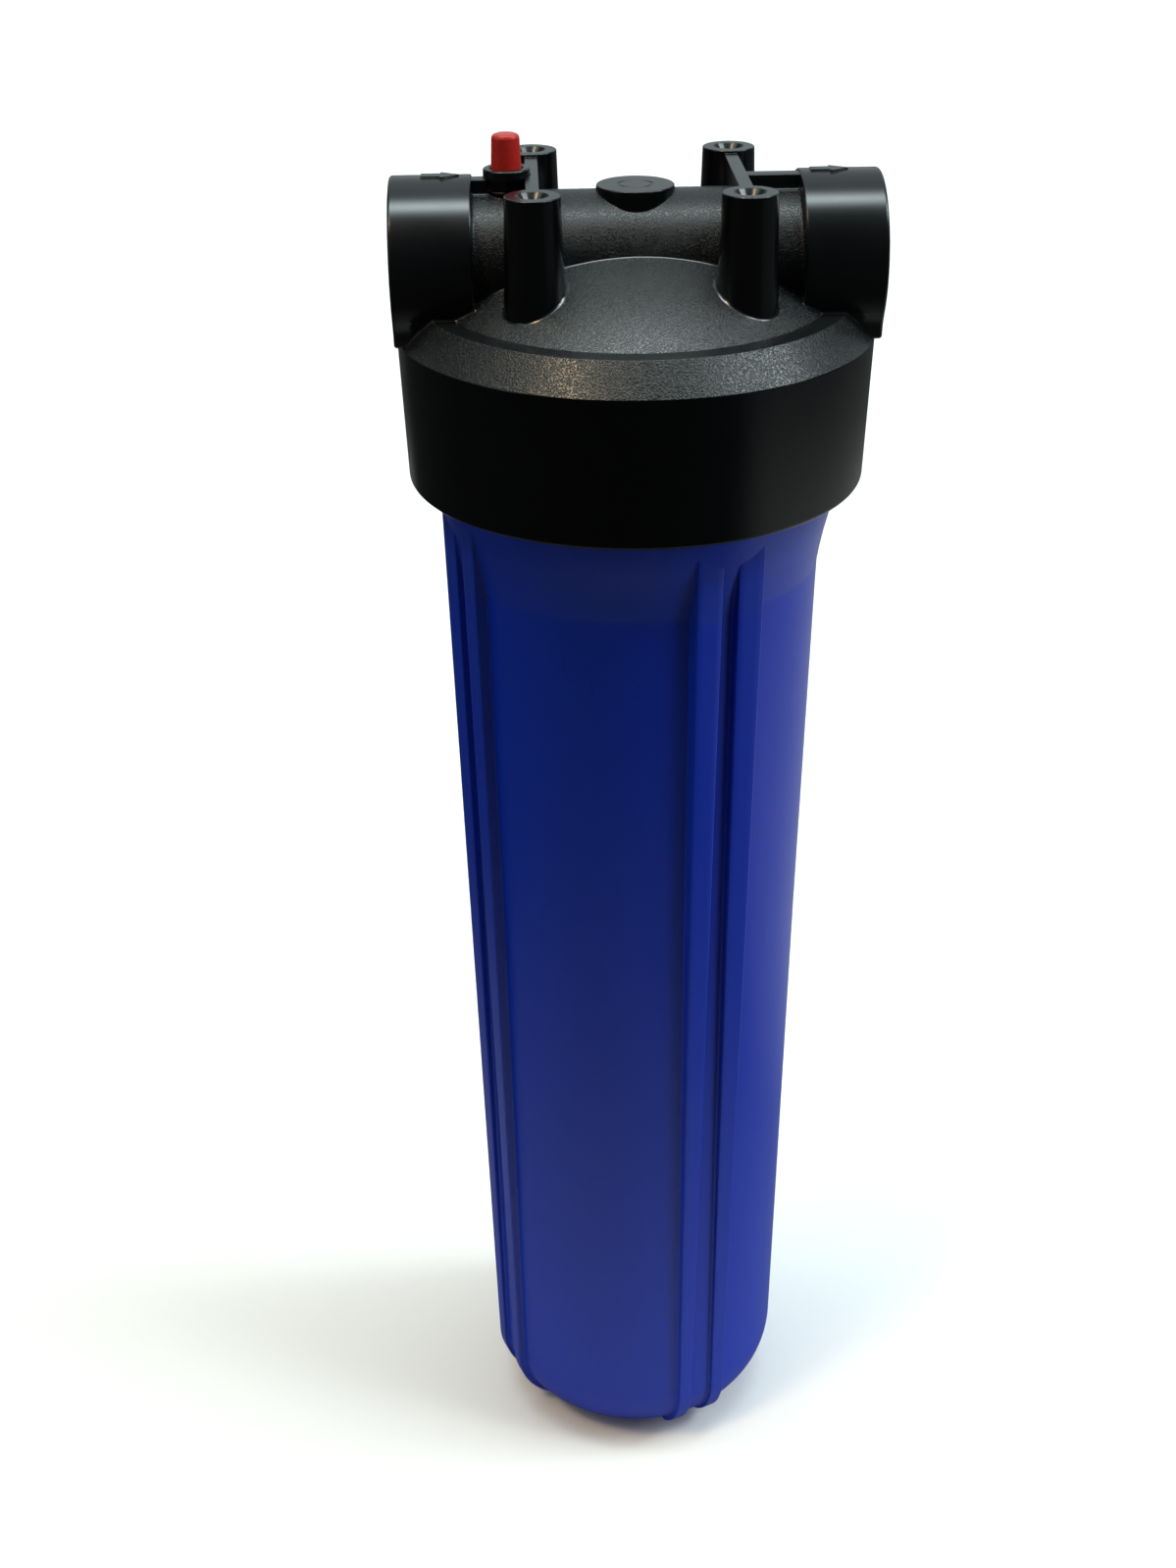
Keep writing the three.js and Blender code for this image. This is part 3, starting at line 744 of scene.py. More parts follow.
# ------------------------------------------------------------------ head: bosses and ribs
BOSS_X, BOSS_Y, BOSS_TOP_Z, BOSS_FOOT_Z = 38.9, 40.9, 59.4, 10
BOSS_TOP_R, BOSS_FOOT_R = 10.2, 11.6
RIB_HALF_Y, RIB_TOP_Z, RIB_FILLET, RIB_EDGE = 3.5, 57.3, 1.5, 0.35
RELIEF_ORIGIN = (RELIEF_X, 0, 0)

# pipe down into the cartridge, with a sealing lip at its lower end
standpipe = Turned(rounded([
    (0, 12), (20.5, 12), (20.5, -9, 0.6), (18.3, -17.4, 0.25), (17.3, -17.4, 0.25),
    (13.5, -12.5), (13.5, -11), (0, -11)], 4), 96, zone="inner")


def boss(origin):
    profile = [(0, BOSS_FOOT_Z), (BOSS_FOOT_R, BOSS_FOOT_Z), (BOSS_TOP_R, BOSS_TOP_Z, 0.5),
               (0, BOSS_TOP_Z)]
    return Turned(rounded(profile, 4), 96, origin, zone="boss")


def boss_hole(origin):
    """Hole with a conical mouth."""
    profile = [(0, 36), (2.7, 36), (2.7, 55.4, 0.3), (6.0, BOSS_TOP_Z - 0.02),
               (7.0, BOSS_TOP_Z + 0.9), (0, BOSS_TOP_Z + 0.9)]
    return Turned(rounded(profile, 3), 48, origin)


boss_origins = [(side_x * BOSS_X, side_y * BOSS_Y, 0) for side_x, side_y in CORNERS]
bosses = [boss(origin) for origin in boss_origins]
boss_holes = [boss_hole(origin) for origin in boss_origins]

# round pad on the middle of the cross tube, with a shallow groove in its top
centre_pad = Turned(rounded([
    (0, 40), (16.0, 40), (16.0, 44), (14.65, 54.2, 0.5), (6.9, 54.2), (6.65, 53.95),
    (6.15, 53.95), (5.9, 54.2), (0, 54.2)], 4), 96, zone="boss")
relief_boss = Turned(rounded([(0, 46), (8.25, 46), (7.7, 53.3, 0.35), (0, 53.3)], 4), 72,
                     RELIEF_ORIGIN, zone="boss")


def cross_web(x):
    """Upright plate along Y between two bosses."""
    outline = rounded([(x - 2.6, 20), (x + 2.6, 20), (x + 2.6, 58.4, 0.35),
                       (x - 2.6, 58.4, 0.35)], 4)
    return prism(outline, "y", -BOSS_Y, BOSS_Y)


def crown_rib(side):
    """Rib along X on the crown of the cross tube, with fillets at its foot."""
    fillet_y = RIB_HALF_Y + RIB_FILLET
    fillet_z = TUBE_Z + sqrt((TUBE_R + RIB_FILLET) ** 2 - fillet_y ** 2)
    start = degrees(atan2(TUBE_Z - fillet_z, fillet_y))
    half = arc(fillet_y, fillet_z, RIB_FILLET, start, -180, 7)[:-1]
    half[0] = (half[0][0], half[0][1] - 0.03)
    half += [(RIB_HALF_Y, fillet_z), (RIB_HALF_Y, RIB_TOP_Z - RIB_EDGE)]
    half += arc(RIB_HALF_Y - RIB_EDGE, RIB_TOP_Z - RIB_EDGE, RIB_EDGE, 0, 90, 4)[1:]
    outline = [(half[0][0], 48.0)] + half
    outline += [(-y, z) for y, z in half[::-1]] + [(-half[0][0], 48.0)]
    start_x, end_x = sorted((side * BOSS_X, side * (COLLAR_X + 1)))
    return prism(outline, "x", start_x, end_x)


webs = [cross_web(side * BOSS_X) for side in SIDES]
crown_ribs = [crown_rib(side) for side in SIDES]

# ------------------------------------------------------------------ head: fillets
BOSS_FILLET, DOME_TUBE_FILLET, COLLAR_FILLET = 1.5, 1.3, 1.0
FILLET_STEPS = 5
DOME_CENTRE = np.array([0, 0, DOME_CENTRE_Z])


def unit(vector):
    return vector / np.linalg.norm(vector)


def fillet(stations, closed=False):
    """Rolling-ball fillet through stations of (ball centre, unit normal a, normal b, radius)."""
    sections = []
    for centre, a, b, radius in stations:
        spread = 1 + float(a @ b)
        # sunk a little, so that it overlaps both surfaces
        sunk = centre - 0.025 * (a + b) / spread
        touch_a, touch_b = sunk - radius * a, sunk - radius * b
        angle = acos(max(-1, min(1, float(a @ b))))
        section = []
        for i in range(FILLET_STEPS + 1):
            s = i / FILLET_STEPS
            direction = (a * sin((1 - s) * angle) + b * sin(s * angle)) / max(sin(angle), 1e-6)
            section.append(sunk - radius * direction)
        buried = centre - (radius + 0.9) * (a + b) / spread
        section += [touch_b - 0.7 * b, buried, touch_a - 0.7 * a]
        sections.append(section)
    return loft(sections, closed)


def boss_fillet(side_x, side_y):
    """Round the foot of a boss, against the dome."""
    stations = []
    taper = 0.028
    for i in range(96):
        angle = 2 * pi * i / 96
        z = 20.0
        # the boss's radius and the ball's height depend on each other
        for _ in range(4):
            reach = (BOSS_FOOT_R + (BOSS_TOP_R - BOSS_FOOT_R) * (z - BOSS_FOOT_Z)
                     / (BOSS_TOP_Z - BOSS_FOOT_Z)) + BOSS_FILLET
            x, y = side_x * BOSS_X + reach * cos(angle), side_y * BOSS_Y + reach * sin(angle)
            z = DOME_CENTRE_Z + sqrt(max((DOME_R + BOSS_FILLET) ** 2 - x * x - y * y, 1))
        centre = np.array([x, y, z])
        wall_normal = np.array([cos(angle), sin(angle), taper]) / hypot(1, taper)
        stations.append((centre, wall_normal, unit(centre - DOME_CENTRE), BOSS_FILLET))
    return fillet(stations, closed=True)


def tube_fillet(side_y):
    """Along one side of the cross tube, against the dome."""
    stations = []
    tube_reach, dome_reach = TUBE_R + DOME_TUBE_FILLET, DOME_R + DOME_TUBE_FILLET
    for x in np.linspace(-62.3, 62.3, 84):
        z = ((dome_reach ** 2 - x * x - tube_reach ** 2 - DOME_CENTRE_Z ** 2 + TUBE_Z ** 2)
             / (2 * (TUBE_Z - DOME_CENTRE_Z)))
        y = sqrt(tube_reach ** 2 - (z - TUBE_Z) ** 2)
        centre = np.array([x, side_y * y, z])
        tube_normal = unit(np.array([0, side_y * y, z - TUBE_Z]))
        stations.append((centre, tube_normal, unit(centre - DOME_CENTRE), DOME_TUBE_FILLET))
    return fillet(stations)


# (radius, z) of the body's outside under the collars
BODY_LINE = np.array([(radius, dome_z(radius)) for radius in np.linspace(40, LEDGE_R, 40)]
                     + [(BEVEL_TOP_R, LEDGE_Z), (HEAD_R, 0.0), (SKIRT_R, -50.0)])


def body_distance(radius, z):
    """Signed distance from the body's outside, and the outward normal there."""
    a = BODY_LINE[:-1]
    d = BODY_LINE[1:] - a
    point = np.array([radius, z])
    t = np.clip(np.sum((point - a) * d, 1) / np.sum(d * d, 1), 0, 1)
    away = point - (a + d * t[:, None])
    distances = np.hypot(away[:, 0], away[:, 1])
    i = int(np.argmin(distances))
    distance = distances[i]
    normal = unit(np.array([-d[i][1], d[i][0]]))
    sign = 1 if away[i] @ normal >= 0 or distance < 1e-9 else -1
    if distance > 1e-6 and sign > 0:
        normal = away[i] / distance
    return sign * distance, normal


def collar_ball_steps():
    """(x, offset from the outline, normal's x part, its part in the outline's plane, radius)."""
    rho = COLLAR_FILLET
    steps = [(COLLAR_X - rho, reach - COLLAR_R, -1.0, 0.0, rho)      # on the inner face
             for reach in np.linspace(25.0, 32.0, 8)]
    for part in np.linspace(0.1, 0.9, 4):                            # round its edge
        turn = part * pi / 2
        steps.append((COLLAR_X - rho * cos(turn), rho * sin(turn), -cos(turn), sin(turn), rho))
    for x in np.linspace(COLLAR_X, 87.3, 60):                        # along the wall
        radius = rho * min(1.0, max(0.25, (87.6 - x) / 4.0))
        steps.append((x, radius, 0.0, 1.0, radius))
    return steps


def touching_point(x, line, normals, radius):
    """First place down a collar line where the ball touches the body: (y, z) and its normal."""
    previous = None
    usable = [i for i in range(len(line)) if line[i, 1] < 34 and line[i, 0] > 20]
    for i in usable[::3]:
        gap = body_distance(hypot(x, line[i, 0]), line[i, 1])[0] - radius
        if previous is not None and previous[1] > 0 >= gap:
            j = previous[0]
            w = previous[1] / (previous[1] - gap)
            return line[j] * (1 - w) + line[i] * w, normals[j] * (1 - w) + normals[i] * w
        previous = (i, gap)
    return None


def collar_fillet():
    """The +X, +Y quarter of the collars, against dome, ledge and bevel."""
    walk = np.linspace(0, len(collar_half) - 1.01, 900)
    k = walk.astype(int)
    t = (walk - k)[:, None]
    half_normals = collar_normals[:len(collar_half)]
    normals = half_normals[k] * (1 - t) + half_normals[k + 1] * t
    normals /= np.linalg.norm(normals, axis=1)[:, None]
    outline = collar_half[k] * (1 - t) + collar_half[k + 1] * t
    stations = []
    for x, offset, normal_x, normal_plane, radius in collar_ball_steps():
        found = touching_point(x, outline + normals * offset, normals, radius)
        if found is None or found[0][1] < 1.2:
            continue
        (y, z), across = found
        across = unit(across)
        reach = hypot(x, y)
        body_normal = body_distance(reach, z)[1]
        stations.append((
            np.array([x, y, z]),
            np.array([normal_x, normal_plane * across[0], normal_plane * across[1]]),
            np.array([body_normal[0] * x / reach, body_normal[0] * y / reach, body_normal[1]]),
            radius))
    return fillet(stations)


fillets = [boss_fillet(*corner) for corner in CORNERS]
fillets += [tube_fillet(side) for side in SIDES]
quarter_fillet = collar_fillet()
fillets += [mirrored(quarter_fillet, *corner) for corner in CORNERS]

# ------------------------------------------------------------------ head: arrows, bores, cuts
ARROW_X = 72.9
# (x, y) of an arrow that points towards +X
ARROW = [(-7.3, -2.5), (0, -2.5), (0, -4.7), (7.2, 0), (0, 4.7), (0, 2.5), (-7.3, 2.5)]
PASSAGE_R, STANDPIPE_BORE_R = 20, 13.5
PORT_THREAD_PITCH, PORT_THREAD_DEPTH = 2.2, 1.25


def arrow(centre_x):
    """Raised arrow on top of a collar."""
    outline = [(centre_x + x, y) for x, y in rounded([(x, y, 0.25) for x, y in ARROW], 2)]
    collar_top = TUBE_Z + COLLAR_R
    return prism(outline, "z", collar_top - 2.2, collar_top + 0.6)


def port_bore(side):
    """Tapering threaded bore, opening at the port's end."""
    # (radius, distance outwards from the port's end)
    profile = [(0, 1.2), (26.4, 1.2), (25.0, 0.0), (23.6, -1.5)]
    profile += [(23.4 - 0.9 * (depth - 1.6) / 25.4, -depth)
                for depth in np.arange(0, 27.001, 0.3667) if depth > 1.7]
    profile += [(21.4, -27.3), (0, -27.3)]

    def thread(radius, angle, x):
        depth = PORT_END_X - side * x
        threaded = (depth > 1.7) & (depth < 27.1) & (radius > 21.9)
        advance = side * angle / (2 * pi) * PORT_THREAD_PITCH
        phase = ((depth + advance) / PORT_THREAD_PITCH) % 1.0
        triangle = 1 - np.abs(phase * 2 - 1)
        fade = np.clip((25.5 - depth) / 5.0, 0, 1)
        return np.where(threaded, radius + PORT_THREAD_DEPTH * triangle * fade, radius)

    return Turned([(radius, side * (PORT_END_X + out)) for radius, out in profile], 112,
                  zone="inner", reshape=thread, **PORT_AXIS)


arrows = [arrow(side * ARROW_X) for side in SIDES]
port_bores = [port_bore(side) for side in SIDES]
# the -X port leads through a slot into the chamber, the +X port into the standpipe
passages = [plug(PASSAGE_R, -PORT_END_X + 20, -24, 80, zone="inner", **PORT_AXIS),
            plug(PASSAGE_R, -13.6, PORT_END_X - 20, 80, zone="inner", **PORT_AXIS)]
chamber_slot = prism([(-59, -13), (-28, -13), (-28, 13), (-59, 13)], "z", -1, 14)
standpipe_bore = plug(STANDPIPE_BORE_R, -20, 20, 80, zone="inner")
relief_bore = plug(6.2, 40, 60, 64, origin=RELIEF_ORIGIN, zone="inner")
# room for the relief bonnet in the ribs above its boss
relief_clearance = Turned([(0, 53.3), (8.1, 53.3), (8.1, 56.9), (9.1, 56.9), (9.1, 60), (0, 60)],
                          64, RELIEF_ORIGIN, zone="boss")


def head_rest_zone(centre):
    """The fillets at the foot of bosses, tube and collars are smoother than the rest."""
    return "edge" if centre[2] < 36 and abs(centre[1]) > 20 else "smooth"


def build_head():
    added = [cross_tube, *collars, standpipe, *bosses, *webs, *crown_ribs, centre_pad,
             relief_boss, *fillets, *arrows]
    cut = [*port_bores, *passages, chamber_slot, standpipe_bore, *boss_holes, relief_bore,
           relief_clearance]
    operations = [("DIFFERENCE", cavity)] + [("UNION", solid) for solid in added]
    operations += [("DIFFERENCE", solid) for solid in cut]
    turned = [head_body, cavity, cross_tube, standpipe, *collar_surfaces, *bosses, centre_pad,
              relief_boss, *port_bores, *passages, standpipe_bore, *boss_holes, relief_bore,
              relief_clearance]
    materials = {"smooth": head_smooth, "tube": head_tube, "edge": head_edge,
                 "dome": head_dome, "bevel": head_bevel, "ledge": head_ledge,
                 "skirt": head_skirt, "inner": head_inside, "boss": head_boss}
    mesh = combine("head_shell", head_body, operations)
    finish_mesh("head_shell", mesh, turned, materials, "head_body", "head",
                rest=head_rest_zone)


build_head()

# ------------------------------------------------------------------ sump: shell
BOTTOM_CENTRE_R, BOTTOM_ROUND, SUMP_WALL = 32, 36.8, 5.8
BOTTOM_INNER_ROUND = BOTTOM_ROUND - SUMP_WALL
BOTTOM_CENTRE_Z = SUMP_BOTTOM + BOTTOM_ROUND
SUMP_TOP_Z = -14.0

# (radius, z) of the outside below the thread: flare, taper's break, long taper
SUMP_FLARE = [
    (81.4, -52.0), (81.3, -57), (79.9, -66), (78.2, -73.5), (76.9, -79), (75.6, -86),
    (74.72, -91.8), (74.55, -93.4), (74.3, -103), (71.8, -255)]
sump_outside = SUMP_FLARE + arc(BOTTOM_CENTRE_R, BOTTOM_CENTRE_Z, BOTTOM_ROUND, 0, -90, 26)


def male_thread(radius, angle, z):
    height = thread_height(angle, z, turns=3.0625, foot_half=2.17, top_half=1.15, run_out=0.125)
    threaded = (np.abs(radius - MALE_ROOT_R) < 0.02) & (z < -17.9)
    return np.where(threaded, MALE_ROOT_R + (MALE_CREST_R - MALE_ROOT_R) * height, radius)


sump_profile = [(MALE_ROOT_R, -14.4)]
sump_profile += [(MALE_ROOT_R, z) for z in np.arange(-18.0, -50.0, -THREAD_ROW)]
sump_profile += [(MALE_ROOT_R, -50.2), (MALE_ROOT_R + 1.0, -50.7)]
sump_profile += sump_outside + [(0, SUMP_BOTTOM), (0, SUMP_BOTTOM + SUMP_WALL)]
sump_profile += arc(BOTTOM_CENTRE_R, BOTTOM_CENTRE_Z, BOTTOM_INNER_ROUND, -90, 0, 20)
sump_profile += [(66.2, -255), (68.3, -103), (69.8, -92), (69.8, -14.5)]
# the rim, with the groove of the main seal
sump_profile += rounded([
    (70.3, SUMP_TOP_Z), (71.5, SUMP_TOP_Z, 0.3), (71.5, -19.0, 0.5), (76.5, -19.0, 0.5),
    (76.5, SUMP_TOP_Z, 0.3), (77.8, SUMP_TOP_Z)], 3)
sump_body = Turned(sump_profile, BODY_SEGMENTS, crease=22, reshape=male_thread)
# ring on the sump's floor that the cartridge stands on
cartridge_seat = Turned(rounded([
    (13.5, SUMP_BOTTOM + 5), (20.5, SUMP_BOTTOM + 5), (18.3, -519.3, 0.3), (17.3, -519.3, 0.3),
    (15.4, -525), (13.5, -527)], 3), 72)

# ------------------------------------------------------------------ sump: ribs
# Four pairs of ribs run down the wall and curl under the bottom. Their contours lie across
# the rib: t is the distance sideways from the pair's middle, n the distance outwards.
RIB_AZIMUTHS = (24.5, 114.5, 204.5, 294.5)
SUMP_RIB_EDGE, SUMP_RIB_FILLET = 0.55, 0.9
RIB_END_ANGLE, RIB_END_SPAN, RIB_END_REACH = -52.5, 4.5, 36.2   # where a rib dies out, degrees
RIB_HEIGHTS = [
    -56.0, -60, -63, -66, -68, -70, -72, -74, -76, -78, -80, -83, -86, -89, -91.8, -93.4,
    -98, -103, -115, -130, -160, -200, -255, -310, -360, -410, -450, -480, -500,
    BOTTOM_CENTRE_Z]
RIB_FOOT_ANGLES = [
    -3, -8, -13, -18, -23, -28, -33, -38, -42, -45, -48, -50, -52.5, -53.5, -54.4, -55.2,
    -55.9, -56.4, -56.8, -57]
outside_table = np.array(sump_outside)


def rib_taper(at_100, at_500, z):
    """Linear between the values 100 and 500 below the bevel."""
    return at_100 + (at_500 - at_100) * (z + 100) / -400


def rib_face(z):
    """Distance of the rib's flat face from the sump's axis."""
    return rib_taper(78.1, 70.8, z)


def rib_contour(z, face, surface):
    """(t, n) round one rib; face is the n of its flat face, surface(t) the n of the body."""
    inner, outer = rib_taper(3.45, 5.5, z), rib_taper(14.45, 12.0, z)
    edge, foot = SUMP_RIB_EDGE, SUMP_RIB_FILLET

    def flank(t, side):
        """From inside the body up the fillet to the rib's side wall."""
        centre_t = t + side * foot
        slope = (surface(centre_t + 0.05) - surface(centre_t - 0.05)) / 0.1
        length = hypot(1, slope)
        centre_n = min(surface(centre_t) + foot * length, face - edge - 0.02)
        normal = np.array([-slope, 1]) / length
        start = atan2(0, -side)
        turn = shortest_turn(start, atan2(-normal[1], -normal[0]))
        points = []
        for k in range(5, -1, -1):
            a = start + turn * k / 5
            points.append((centre_t + foot * cos(a), centre_n + foot * sin(a) - 0.02 * k / 5))
        return [(points[0][0], points[0][1] - 1.6)] + points

    contour = flank(outer, 1.0)
    contour += [(outer - edge + edge * cos(a), face - edge + edge * sin(a))
                for a in np.linspace(0, pi / 2, 5)]
    contour += [(outer - edge - (outer - inner - 2 * edge) * k / 4, face) for k in (1, 2, 3)]
    contour += [(inner + edge - edge * cos(a), face - edge + edge * sin(a))
                for a in np.linspace(pi / 2, 0, 5)]
    return contour + flank(inner, -1.0)[::-1]


def wall_section(z):
    """(t, n, z) round a rib at a height on the wall."""
    body_radius = float(np.interp(-z, -outside_table[:, 1], outside_table[:, 0]))

    def surface(t):
        return sqrt(max(body_radius ** 2 - t * t, 1))

    return [(t, n, z) for t, n in rib_contour(z, rib_face(z), surface)]


def foot_section(degrees_down):
    """(t, n, z) round a rib at an angle about the centre of the bottom's rounding."""
    angle = radians(degrees_down)
    foot_face = rib_face(BOTTOM_CENTRE_Z) - BOTTOM_CENTRE_R
    face = foot_face
    if degrees_down < RIB_END_ANGLE:
        u = min(1, (RIB_END_ANGLE - degrees_down) / RIB_END_SPAN)
        face = RIB_END_REACH + (foot_face - RIB_END_REACH) * sqrt(max(0, 1 - u * u))

    def surface(t):
        """Distance from the rounding's centre to the body, by bisection."""
        low, high = 20.0, 45.0
        for _ in range(40):
            n = (low + high) / 2
            body = BOTTOM_CENTRE_R + sqrt(max(BOTTOM_ROUND ** 2 - (n * sin(angle)) ** 2, 0))
            if hypot(BOTTOM_CENTRE_R + n * cos(angle), t) < body:
                low = n
            else:
                high = n
        return low

    return [(t, BOTTOM_CENTRE_R + n * cos(angle), BOTTOM_CENTRE_Z + n * sin(angle))
            for t, n in rib_contour(BOTTOM_CENTRE_Z, face, surface)]


def sump_ribs():
    sections = [wall_section(z) for z in RIB_HEIGHTS]
    sections += [foot_section(angle) for angle in RIB_FOOT_ANGLES]
    ribs = []
    for azimuth in RIB_AZIMUTHS:
        c, s = cos(radians(azimuth)), sin(radians(azimuth))
        for side in SIDES:
            ribs.append(loft([[(s * n + c * side * t, -c * n + s * side * t, z)
                               for t, n, z in section] for section in sections]))
    return ribs


sump_mesh = combine("sump_shell", sump_body,
                    [("UNION", solid) for solid in [cartridge_seat] + sump_ribs()])
finish_mesh("sump_shell", sump_mesh, [sump_body, cartridge_seat], {"smooth": sump_blue},
            "sump_body", "sump")

# ------------------------------------------------------------------ seals and relief valve
SEAL_SHARP = 60                                # sharp-edge angle of round sections, degrees
piece("main_o_ring_round", Turned(ring_profile(74.0, -16.6, 1.95, 20), 192), rubber,
      "sump_seal", "main_o_ring", SEAL_SHARP)

# (radius, z[, rounding]) of the turned relief parts
BONNET = [
    (2.0, 46.6), (5.6, 46.6, 0.3), (5.6, 49.0, 0.15), (4.0, 49.0), (4.0, 51.2),
    (5.6, 51.2, 0.15), (5.6, 53.6), (7.7, 53.6, 0.25), (7.7, 57.2, 0.2), (8.8, 57.2, 0.4),
    (8.8, 61.0, 0.75), (6.6, 61.0, 0.15), (6.3, 60.6, 0.1), (6.3, 54.4, 0.3), (2.0, 54.4)]
BUTTON = [
    (4.2, 57.4, 0.2), (5.85, 57.4, 0.3), (5.25, 71.9, 0.5), (4.75, 72.85, 0.5),
    (3.6, 73.3, 0.8), (0, 73.3), (0, 71.7), (1.9, 71.7), (1.9, 68.0, 0.2), (4.2, 68.0)]
STEM = [
    (0, 42.2), (1.6, 42.2, 0.3), (1.6, 43.5), (1.1, 43.5), (1.1, 44.3), (1.6, 44.3),
    (1.6, 71.3, 0.15), (0, 71.3)]
CLIP_OUTER_R, CLIP_INNER_R, CLIP_HALF_GAP = 3.0, 1.35, 0.55   # the gap is an angle, radians
CLIP_Z, CLIP_THICKNESS = 43.65, 0.5


def e_clip():
    """Open ring in the stem's groove."""
    angles = np.linspace(CLIP_HALF_GAP, 2 * pi - CLIP_HALF_GAP, 40)
    back = np.linspace(2 * pi - CLIP_HALF_GAP, CLIP_HALF_GAP, 40)
    outline = [(RELIEF_X + radius * cos(t), radius * sin(t))
               for radius, path in ((CLIP_OUTER_R, angles), (CLIP_INNER_R, back)) for t in path]
    return prism(outline, "z", CLIP_Z, CLIP_Z + CLIP_THICKNESS)


def spring(bottom, top, turns, coil_radius, wire_radius, steps=150, sides=10):
    sections = []
    for i in range(steps + 1):
        s = i / steps
        a = s * turns * 2 * pi
        radial = np.array([cos(a), sin(a), 0])
        centre = coil_radius * radial + np.array([RELIEF_X, 0, bottom + (top - bottom) * s])
        sections.append([centre + wire_radius * (cos(b) * radial + sin(b) * np.array([0, 0, 1]))
                         for b in np.arange(sides) * 2 * pi / sides])
    return loft(sections)


piece("relief_bonnet_moulded", Turned(rounded(BONNET, 5), 96, RELIEF_ORIGIN), head_smooth,
      "head_body", "relief_bonnet")
piece("relief_bonnet_ring", Turned(ring_profile(5.1, 50.1, 0.72, 12), 64, RELIEF_ORIGIN),
      rubber, "head_body", "relief_bonnet_seal", SEAL_SHARP)
piece("relief_button_cap", Turned(rounded(BUTTON, 6), 96, RELIEF_ORIGIN), button_red,
      "relief_plunger", "relief_button")
piece("relief_stem_turned", Turned(rounded(STEM, 4), 48, RELIEF_ORIGIN), steel,
      "relief_plunger", "relief_stem")
piece("relief_stem_ring", Turned(ring_profile(2.9, 45.5, 0.72, 12), 48, RELIEF_ORIGIN),
      rubber, "relief_plunger", "relief_stem_seal", SEAL_SHARP)
piece("relief_stem_e_clip", e_clip(), steel, "relief_plunger",
      "relief_stem_clip")
spring_wire = piece(
    "relief_spring_wire",
    spring(bottom=55.15, top=67.25, turns=5.5, coil_radius=3.15, wire_radius=0.40),
    steel, "head_body", "relief_spring", SEAL_SHARP)
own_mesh(spring_wire)

# ------------------------------------------------------------------ cartridge
CARTRIDGE_TOP, CARTRIDGE_BOTTOM = -17.7, -519.0
CAP_INSET, MEDIA_INSET = 4.8, 6.3              # gasket to cap, cap to paper and core
CAP_TOP, CAP_BOTTOM = CARTRIDGE_TOP - CAP_INSET, CARTRIDGE_BOTTOM + CAP_INSET
MEDIA_TOP, MEDIA_BOTTOM = CAP_TOP - MEDIA_INSET, CAP_BOTTOM + MEDIA_INSET
RING_BORE_R = 14.2

# (radius, depth into the cartridge[, rounding])
GASKET = [
    (RING_BORE_R, 0), (17.5, 0), (18.2, 0.5), (19.6, 0.5), (20.3, 0), (25.0, 0, 0.9),
    (25.0, 4.5, 0.5), (RING_BORE_R, 4.5, 0.5)]
CAP = [
    (RING_BORE_R, 0, 0.4), (27.0, 0, 0.4), (28.2, 0.8, 0.4), (50.0, 0.8, 0.4), (51.2, 0, 0.4),
    (57.0, 0, 1.6), (57.0, 13.5, 0.5), (55.4, 13.5, 0.3), (55.4, 6.0, 0.4), (RING_BORE_R, 6.0)]


def end_ring(outline, z, up, segments):
    """Turned ring with its outer face at z; up is 1 at the top and -1 at the bottom."""
    points = [(radius, z - up * depth, *rounding) for radius, depth, *rounding in outline]
    return Turned(rounded(points, 4), segments)


# (name, name in the CAD, up, z of the gasket's and the cap's outer face)
CARTRIDGE_ENDS = (("upper", "top", 1, CARTRIDGE_TOP, CAP_TOP),
                  ("lower", "bottom", -1, CARTRIDGE_BOTTOM, CAP_BOTTOM))
for end, cad_end, up, gasket_z, _ in CARTRIDGE_ENDS:
    piece(f"cartridge_gasket_{end}", end_ring(GASKET, gasket_z, up, 96), pale_rubber,
          "sump_body", f"cartridge_{cad_end}_gasket")
for end, cad_end, up, _, cap_z in CARTRIDGE_ENDS:
    piece(f"cartridge_cap_{end}", end_ring(CAP, cap_z, up, 160), cap_blue,
          "sump_body", f"cartridge_{cad_end}_cap")


